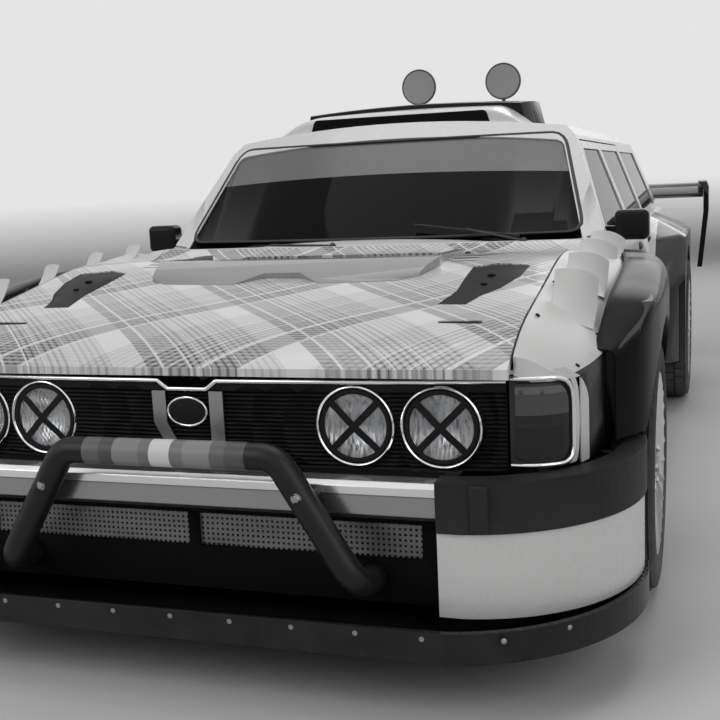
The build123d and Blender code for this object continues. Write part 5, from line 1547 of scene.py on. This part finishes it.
    def build(self) -> None:
        """Builds the wheel's pieces on its own body."""
        tyre_node, rim_node = (self.name.replace("wheel", part) for part in ("tyre", "rim"))
        build(f"{self.name}_tread_tyre", [self.tyre()], RUBBER, self.name, [tyre_node], crease=40)
        cover = [self.fan_disc(), self.barrel()]
        build(f"{self.name}_fan_disc", cover, WHEEL_PAINT, self.name, [rim_node], crease=30)
        build(f"{self.name}_brake", self.brake(), IRON, self.name)
        build(f"{self.name}_bolts", self.fasteners(), STEEL, self.name)


@dataclass
class Glasshouse:
    """Roof discs, windscreen seal, mirror glass and wipers."""

    disc_halves: tuple[float, float] = (-187.0, 187.0)
    disc_height: float = 1459.0
    mirror_station: float = 1565.0
    wipers: tuple[tuple[Point, Point], ...] = (
        ((156, 1372, 918), (492, 1372, 874)), ((-555, 1372, 852), (-126, 1366, 874)))

    def build(self) -> None:
        """Adds what lies on the roof and on the panes."""
        self._discs()
        self._seals()
        self._mirrors()
        self._wipers()

    def _discs(self) -> None:
        """Two blank roof discs: a dished face in a rolled rim on a stalk with a foot."""
        faces: list[Patch] = []
        rims: list[Patch] = []
        back, z = (0, 1, 0), self.disc_height
        rolled = [(-5, 70), (-7, 73), (-6, 76), (-1, 77), (5, 77), (5, 70)]
        for x in self.disc_halves:
            faces.append(turned([(-3, 0), (-3.5, 30), (-5, 71), (4, 71), (4, 0)], (x, 2761, z), back, 64))
            rims += [
                turned(rolled, (x, 2761, z), back, 64, closed=True),
                rod([(x, 2768, 1256), (x, 2768, 1300), (x, 2768, 1440), (x, 2768, 1470)], 8.0, 16),
                turned([(0, 0), (0, 24), (6, 24), (10, 14), (10, 0)], (x, 2768, 1255), (0, 0, 1), 24),
                turned([(0, 0), (0, 20), (4, 20), (6, 14), (6, 0)], (x, 2765.5, z), back, 24)]
        build("roof_disc_faces", faces, DISC_FACE, replaces=["roof_discs"])
        build("roof_disc_rims", rims, DARK_METAL)

    def _seals(self) -> None:
        """Black rubber round the windscreen, laid on its curved surface."""
        corners = [(-680, 880), (680, 880), (585, 1196), (-585, 1196)]
        x, z = evened(rounded_outline(corners, (50, 50, 46, 46)), 160).T
        path = grid(x, 1339 + (z - 862) + 0.000202 * x ** 2, z)
        build("windscreen_seal", [rod(path, 7.5, 8, closed=True, rise=5.0)], SEAL_RUBBER)

    def _mirrors(self) -> None:
        """Mirror glass on the back of each housing, with its seal."""
        plan = evened(rounded_outline([(776, 852), (866, 852), (866, 934), (776, 934)], (14, 18, 18, 14)), 64)
        rings = loop_rings(plan, 6)
        bulge = self.mirror_station + 0.6 + 0.8 * np.linspace(0, 1, 6)[:, None]
        glass = Patch(grid(rings[..., 0], bulge, rings[..., 1]))
        seal = rod(grid(plan[:, 0], self.mirror_station, plan[:, 1]), 2.2, 8, closed=True)
        for side, sense in SIDES:
            build(f"mirror_glass_{side}", sided([glass], sense), MIRROR_GLASS, f"front_door_{side}")
            build(f"mirror_seal_{side}", sided([seal], sense), SEAL_RUBBER, f"front_door_{side}")

    def _wipers(self) -> None:
        """Two wipers: a thin double blade and an arm back to its spindle."""
        parts: list[Patch] = []
        for start, end in self.wipers:
            first, last = np.asarray(start, float), np.asarray(end, float)
            blade = first + (last - first) * np.linspace(0, 1, 12)[:, None]
            arm = np.linspace((first + last) / 2 + (0, -6, 6), last + (20, -42, -10), 8)
            parts += [rod(blade, 3.2, 8), rod(blade + (0, -5, 4), 2.0, 8), rod(arm, 3.6, 8),
                      dome(last + (20, -44, -14), (0, -0.3, 0.95), 12.0, 14.0)]
        build("windscreen_wipers", parts, SEAL_RUBBER)


@dataclass
class Swelling:
    """Air in a sewn cover: a cloth run whose movement is capped, then set into the mesh."""

    cap: float = 0.006
    voxel: float = 0.006
    pressure: float = 4.0
    frames: int = 20

    def apply(self, piece: bpy.types.Object) -> None:
        """Remeshes a closed pad evenly, lets it swell without gravity and keeps the capped result.

        Args:
            piece: The pad.
        """
        even = piece.modifiers.new("even_grid", "REMESH")
        even.mode, even.voxel_size = "VOXEL", self.voxel
        self._set(piece)
        start = vertex_values(piece.data, "co")
        cloth = piece.modifiers.new("air", "CLOTH")
        cloth.settings.quality = 4
        cloth.settings.use_pressure = True
        cloth.settings.uniform_pressure_force = self.pressure
        cloth.settings.effector_weights.gravity = 0.0
        cloth.point_cache.frame_start, cloth.point_cache.frame_end = 1, self.frames
        for frame_number in range(1, self.frames + 1):
            bpy.context.scene.frame_set(frame_number)
        self._set(piece)
        bpy.context.scene.frame_set(1)
        move = vertex_values(piece.data, "co") - start
        length = np.linalg.norm(move, axis=1)[:, None]
        move = move * np.minimum(1.0, self.cap / np.maximum(length, 1e-9))
        set_places(piece.data, start + move)
        log.info("%s: swelled, capped at %.1f mm", piece.name, self.cap / MILLIMETRE)

    def _set(self, piece: bpy.types.Object) -> None:
        """Puts the modifiers' result into the piece's mesh and takes the modifiers off.

        Args:
            piece: The pad.
        """
        result = bpy.data.meshes.new_from_object(piece.evaluated_get(bpy.context.evaluated_depsgraph_get()))
        result.name = piece.data.name + "_set"
        piece.modifiers.clear()
        piece.data = result
        result.shade_smooth()


def vertex_values(mesh: bpy.types.Mesh, name: str) -> Grid:
    """A vector property of the mesh's vertices.

    Args:
        mesh: The mesh.
        name: Blender's name of the property.

    Returns:
        One row for each vertex.
    """
    flat = np.empty(len(mesh.vertices) * 3)
    mesh.vertices.foreach_get(name, flat)
    return flat.reshape(-1, 3)


def set_places(mesh: bpy.types.Mesh, places: Grid) -> None:
    """Moves the mesh's vertices."""
    mesh.vertices.foreach_set("co", places.ravel())
    mesh.update()


@dataclass
class Seat:
    """One bucket seat: moulded shell on two feet, three crowned pads and a flat harness.

    The spine is (station, Z) up the shell; a pad is (label, start, end, half width, thickness, pull of its
    sides), with start and end as shares of the spine.
    """

    half: float
    name: str
    spine: Profile = (
        (1796, 404), (1850, 396), (1960, 380), (2080, 364), (2160, 362), (2206, 394), (2228, 480), (2244, 600),
        (2260, 740), (2274, 860), (2286, 950), (2294, 1000))
    wall: tuple[float, ...] = (44, 66, 100, 132, 150, 168, 172, 150, 138, 116, 78, 40)
    breadth: tuple[float, ...] = (196, 214, 230, 234, 234, 234, 234, 234, 232, 214, 168, 140)
    pads: tuple[tuple[str, float, float, float, float, float], ...] = (
        ("cushion", 0.05, 0.42, 168.0, 46.0, 0.05),
        ("back", 0.50, 0.80, 172.0, 42.0, 0.06),
        ("head", 0.86, 0.985, 118.0, 30.0, 0.04))
    shoulder_belt: tuple[Point, ...] = (
        (62, 0.90, 10), (60, 0.84, 44), (58, 0.76, 56), (52, 0.62, 58), (30, 0.48, 74), (8, 0.405, 84))
    lap_belt: tuple[Point, ...] = ((212, 0.36, 84), (178, 0.37, 76), (110, 0.38, 80), (20, 0.395, 84))
    crotch_belt: tuple[Point, ...] = ((0, 0.10, 58), (0, 0.20, 60), (0, 0.30, 62), (0, 0.38, 80))
    seam_width: float = 0.005
    seam_depth: float = 0.0035

    def _along(self, share: Grid | Sequence[float]) -> tuple[Grid, Grid]:
        """Points of the spine, and the way the seat faces there.

        Args:
            share: Shares of the spine's length.

        Returns:
            Points and directions.
        """
        path = softened([(0.0, station, z) for station, z in self.spine])
        place = along_length(path, np.asarray(share, float))
        length = np.concatenate([[0.0], np.cumsum(np.linalg.norm(np.diff(path, axis=0), axis=1))])
        at = np.asarray(share) * length[-1]
        runs = np.gradient(path, axis=0).T
        ahead = unit(np.stack([np.interp(at, length, run) for run in runs], axis=-1))
        return place, grid(0 * ahead[..., 0], -ahead[..., 2], ahead[..., 1])

    def _section(self, share: Grid, grow: float, sink: float) -> Grid:
        """Shell rows: flat for six tenths of the half width, then a quarter oval up to the bolster's edge.

        Args:
            share: Shares along the spine, one a row.
            grow: Extra half width.
            sink: How far the skin lies behind the spine.

        Returns:
            Points, one row for each share.
        """
        place, facing = self._along(share)
        knots = np.linspace(0, 1, len(self.wall))
        wall, half = (flowing(share, knots, values)[:, None] for values in (self.wall, self.breadth))
        across = np.linspace(-1, 1, 45)
        out = np.abs(across)
        turn = np.clip((out - 0.6) / 0.4, 0, 1) * pi / 2
        x = np.sign(across) * (half + grow) * np.where(out < 0.6, out / 0.6 * 0.76, 0.76 + 0.24 * np.sin(turn))
        points = place[:, None] + facing[:, None] * (wall * (1 - np.cos(turn)) - sink)[..., None]
        points[..., 0] += x + self.half
        return points

    def _shell(self) -> None:
        """Shell of two skins closed at their edges, a rolled rim and two side feet."""
        share = np.linspace(0, 1, 60)
        inner, outer = self._section(share, 0.0, 0.0), self._section(share, 6.0, 8.0)
        edge = (inner + outer) / 2
        rim = np.concatenate([edge[:, 0], edge[-1, 1:-1], edge[::-1, -1], edge[0, -2:0:-1]])
        parts = [walled(inner, outer), rod(rim[::2], 6.5, 8, closed=True)]
        for x in (self.half - 150.0, self.half + 150.0):
            parts.append(slab((x - 4, 1840, 198), (x + 4, 2230, 372), 3.0))
            parts.append(slab((x - 26, 1830, 197), (x + 26, 2240, 206), 3.0))
        build(f"{self.name}_shell", parts, SEAT_SHELL, replaces=["seats"])

    def _pad(self, label: str, start: float, end: float, half: float, thick: float, pull: float) -> None:
        """A crowned pad: rings of a squarish outline whose sides pull in between its corners, domed.

        Args:
            label: The pad's name.
            start: Where it starts along the spine.
            end: Where it ends along the spine.
            half: Its half width.
            thick: Its thickness.
            pull: How far its sides pull in, as a share.
        """
        turn = np.linspace(0, 2 * pi, 72, endpoint=False)
        lift = np.linspace(-pi / 2, pi / 2, 25)[:, None]
        reach = np.cos(lift) ** 0.45 * (1 - pull * np.cos(2 * turn) ** 2)
        u, v = (np.sign(wave) * np.abs(wave) ** 0.42 * reach for wave in (np.cos(turn), np.sin(turn)))
        height = np.sign(lift) * np.abs(np.sin(lift)) ** 0.9
        height = height * thick * np.where(height > 0, 0.62, 0.38) + thick * 0.38 + 3.0
        place, facing = self._along((start + end) / 2 + v * (end - start) / 2)
        points = place + facing * (height + 0 * u)[..., None]
        points[..., 0] += u * half + self.half
        name = f"{self.name}_{label}_pad"
        pad = build(name, [Patch(points)], SEAT_CLOTH, replaces=["seats"], crease=180)
        Swelling(cap=0.006).apply(pad)
        self._sew(pad, start, end, half)
        finer = pad.modifiers.new("finer", "SUBSURF")
        finer.levels = finer.render_levels = 1
        build(f"{name}_welt", [rod(points[14], 3.0, 8, closed=True)], SEAT_CLOTH, replaces=["seats"])

    def _sew(self, pad: bpy.types.Object, start: float, end: float, half: float) -> None:
        """Presses two lengthwise sewn channels and a cross channel into a pad's front.

        Args:
            pad: The pad.
            start: Where it starts along the spine.
            end: Where it ends along the spine.
            half: Its half width.
        """
        place, normal = vertex_values(pad.data, "co"), vertex_values(pad.data, "normal")
        middle, facing = self._along([(start + end) / 2])
        side = place[:, 0] - self.half * MILLIMETRE
        run = (place - (middle[0] - (0.0, NOSE_SHIFT, 0.0)) * MILLIMETRE) @ np.cross(facing[0], (1.0, 0.0, 0.0))
        gap = half * MILLIMETRE * 0.44
        depth = sum(np.exp(-((side - sense * gap) / self.seam_width) ** 2) for sense in (-1.0, 1.0))
        depth = depth + np.exp(-(run / self.seam_width) ** 2) * (np.abs(side) < gap)
        front = np.clip(normal @ facing[0], 0, 1)
        set_places(pad.data, place - normal * (depth * front * self.seam_depth)[:, None])

    def _strap(self, places: Sequence[Point], sense: float = 1.0) -> Patch:
        """A strap 48 mm wide.

        Args:
            places: Points as (X from the middle, share of the spine, height over the shell).
            sense: -1 for its mirror image.

        Returns:
            The strap.
        """
        raw = np.asarray(places, float) * (sense, 1.0, 1.0)
        fine = np.linspace(0, len(raw) - 1, 40)
        x, share, height = (flowing(fine, np.arange(len(raw)), column) for column in raw.T)
        place, facing = self._along(share)
        path = place + facing * height[:, None]
        path[:, 0] += self.half + x
        return strip(path, np.cross(np.gradient(path, axis=0), facing), 48.0, 2.4)

    def build(self) -> None:
        """Builds the shell, then its pads, then the harness with its buckle."""
        self._shell()
        for pad in self.pads:
            self._pad(*pad)
        belts = (self.shoulder_belt, self.lap_belt)
        straps = [self._strap(belt, sense) for belt in belts for sense in (-1.0, 1.0)]
        build(f"{self.name}_harness", [*straps, self._strap(self.crotch_belt)], BELT_WEB, replaces=["seats"])
        middle, facing = self._along([0.395])
        centre = middle[0] + facing[0] * 80 + (self.half, 0, 0)
        profile = [(0, 0), (0, 30), (3, 33), (9, 33), (12, 30), (12, 12), (15, 9), (15, 0)]
        buckle = turned(profile, centre, facing[0])
        build(f"{self.name}_buckle", [buckle], DARK_METAL, replaces=["seats"])


@dataclass
class SteeringWheel:
    """Suede rim, three spokes, hub with buttons and a short column."""

    centre: Point = (350.0, 1800.0, 740.0)
    tilt: float = 24.0
    radius: float = 151.0
    hub_depth: float = 40.0
    buttons: Profile = ((-52, 4), (52, 4), (-74, -8), (74, -8))

    def _turned(self, vectors: Grid | Sequence[float]) -> Grid:
        """Directions given as (across, up the wheel, towards the driver) in the car's frame."""
        lean = radians(self.tilt)
        return np.asarray(vectors, float) @ np.array(
            [[1.0, 0.0, 0.0], [0.0, -np.sin(lean), np.cos(lean)], [0.0, np.cos(lean), np.sin(lean)]])

    def build(self) -> None:
        """Builds the wheel's pieces on its own turning body."""
        angle = round_angles(96)
        ring = self.centre + self._turned(grid(self.radius * np.cos(angle), self.radius * np.sin(angle), 0.0))
        rim = rod(ring, 13.5, 16, closed=True)
        build("steering_rim_grip", [rim], WHEEL_GRIP, "steering_wheel", ["steering_wheel"])
        out = self._turned([0.0, 0.0, 1.0])
        reach = np.linspace(28.0, self.radius - 6.0, 12)
        spokes: list[Patch] = []
        for turn in (0.0, pi, 1.5 * pi):
            path = grid(reach * np.cos(turn), reach * np.sin(turn), -26.0 + 26.0 * (reach / self.radius) ** 2)
            across = self._turned([-np.sin(turn), np.cos(turn), 0.0])
            spokes.append(strip(self.centre + self._turned(path), across + 0 * path, 30.0, 4.0))
        hub = self.centre - out * self.hub_depth
        spokes.append(turned([(0, 0), (0, 34), (14, 36), (22, 36), (26, 30), (28, 0)], hub, out, 40))
        spokes.append(turned([(0, 0), (0, 22), (60, 22), (60, 0)], hub - out * 58, out, 24))
        build("steering_spokes", spokes, DARK_METAL, "steering_wheel")
        cap = [dome(self.centre + self._turned([x, y, -19.0]), out, 6.5, 5.0) for x, y in self.buttons]
        cap.append(turned([(0, 0), (0, 20), (4, 18), (6, 12), (7, 0)], hub + out * 27.5, out))
        build("steering_hub_cap", cap, GLOSS_BLACK, "steering_wheel")


def main() -> None:
    """Builds the camera, the studio and every sub-assembly in order, then sets the view transform to Standard.
    """
    PhotoCamera().build()
    Studio().build()
    Skins().build()
    Bodywork().build()
    Bonnet().build()
    Nose().build()
    for end, axle in (("front", 790.0), ("rear", 3240.0)):
        for side, sense in SIDES:
            RoadWheel(f"{end}_wheel_{side}", axle, sense).build()
    Glasshouse().build()
    SteeringWheel().build()
    for side, sense in SIDES:
        Seat(350.0 * sense, f"seat_{side}").build()
    bpy.context.scene.view_settings.view_transform = "Standard"


if __name__ == "__main__":
    logging.basicConfig(level=logging.INFO, format="%(message)s")
    main()
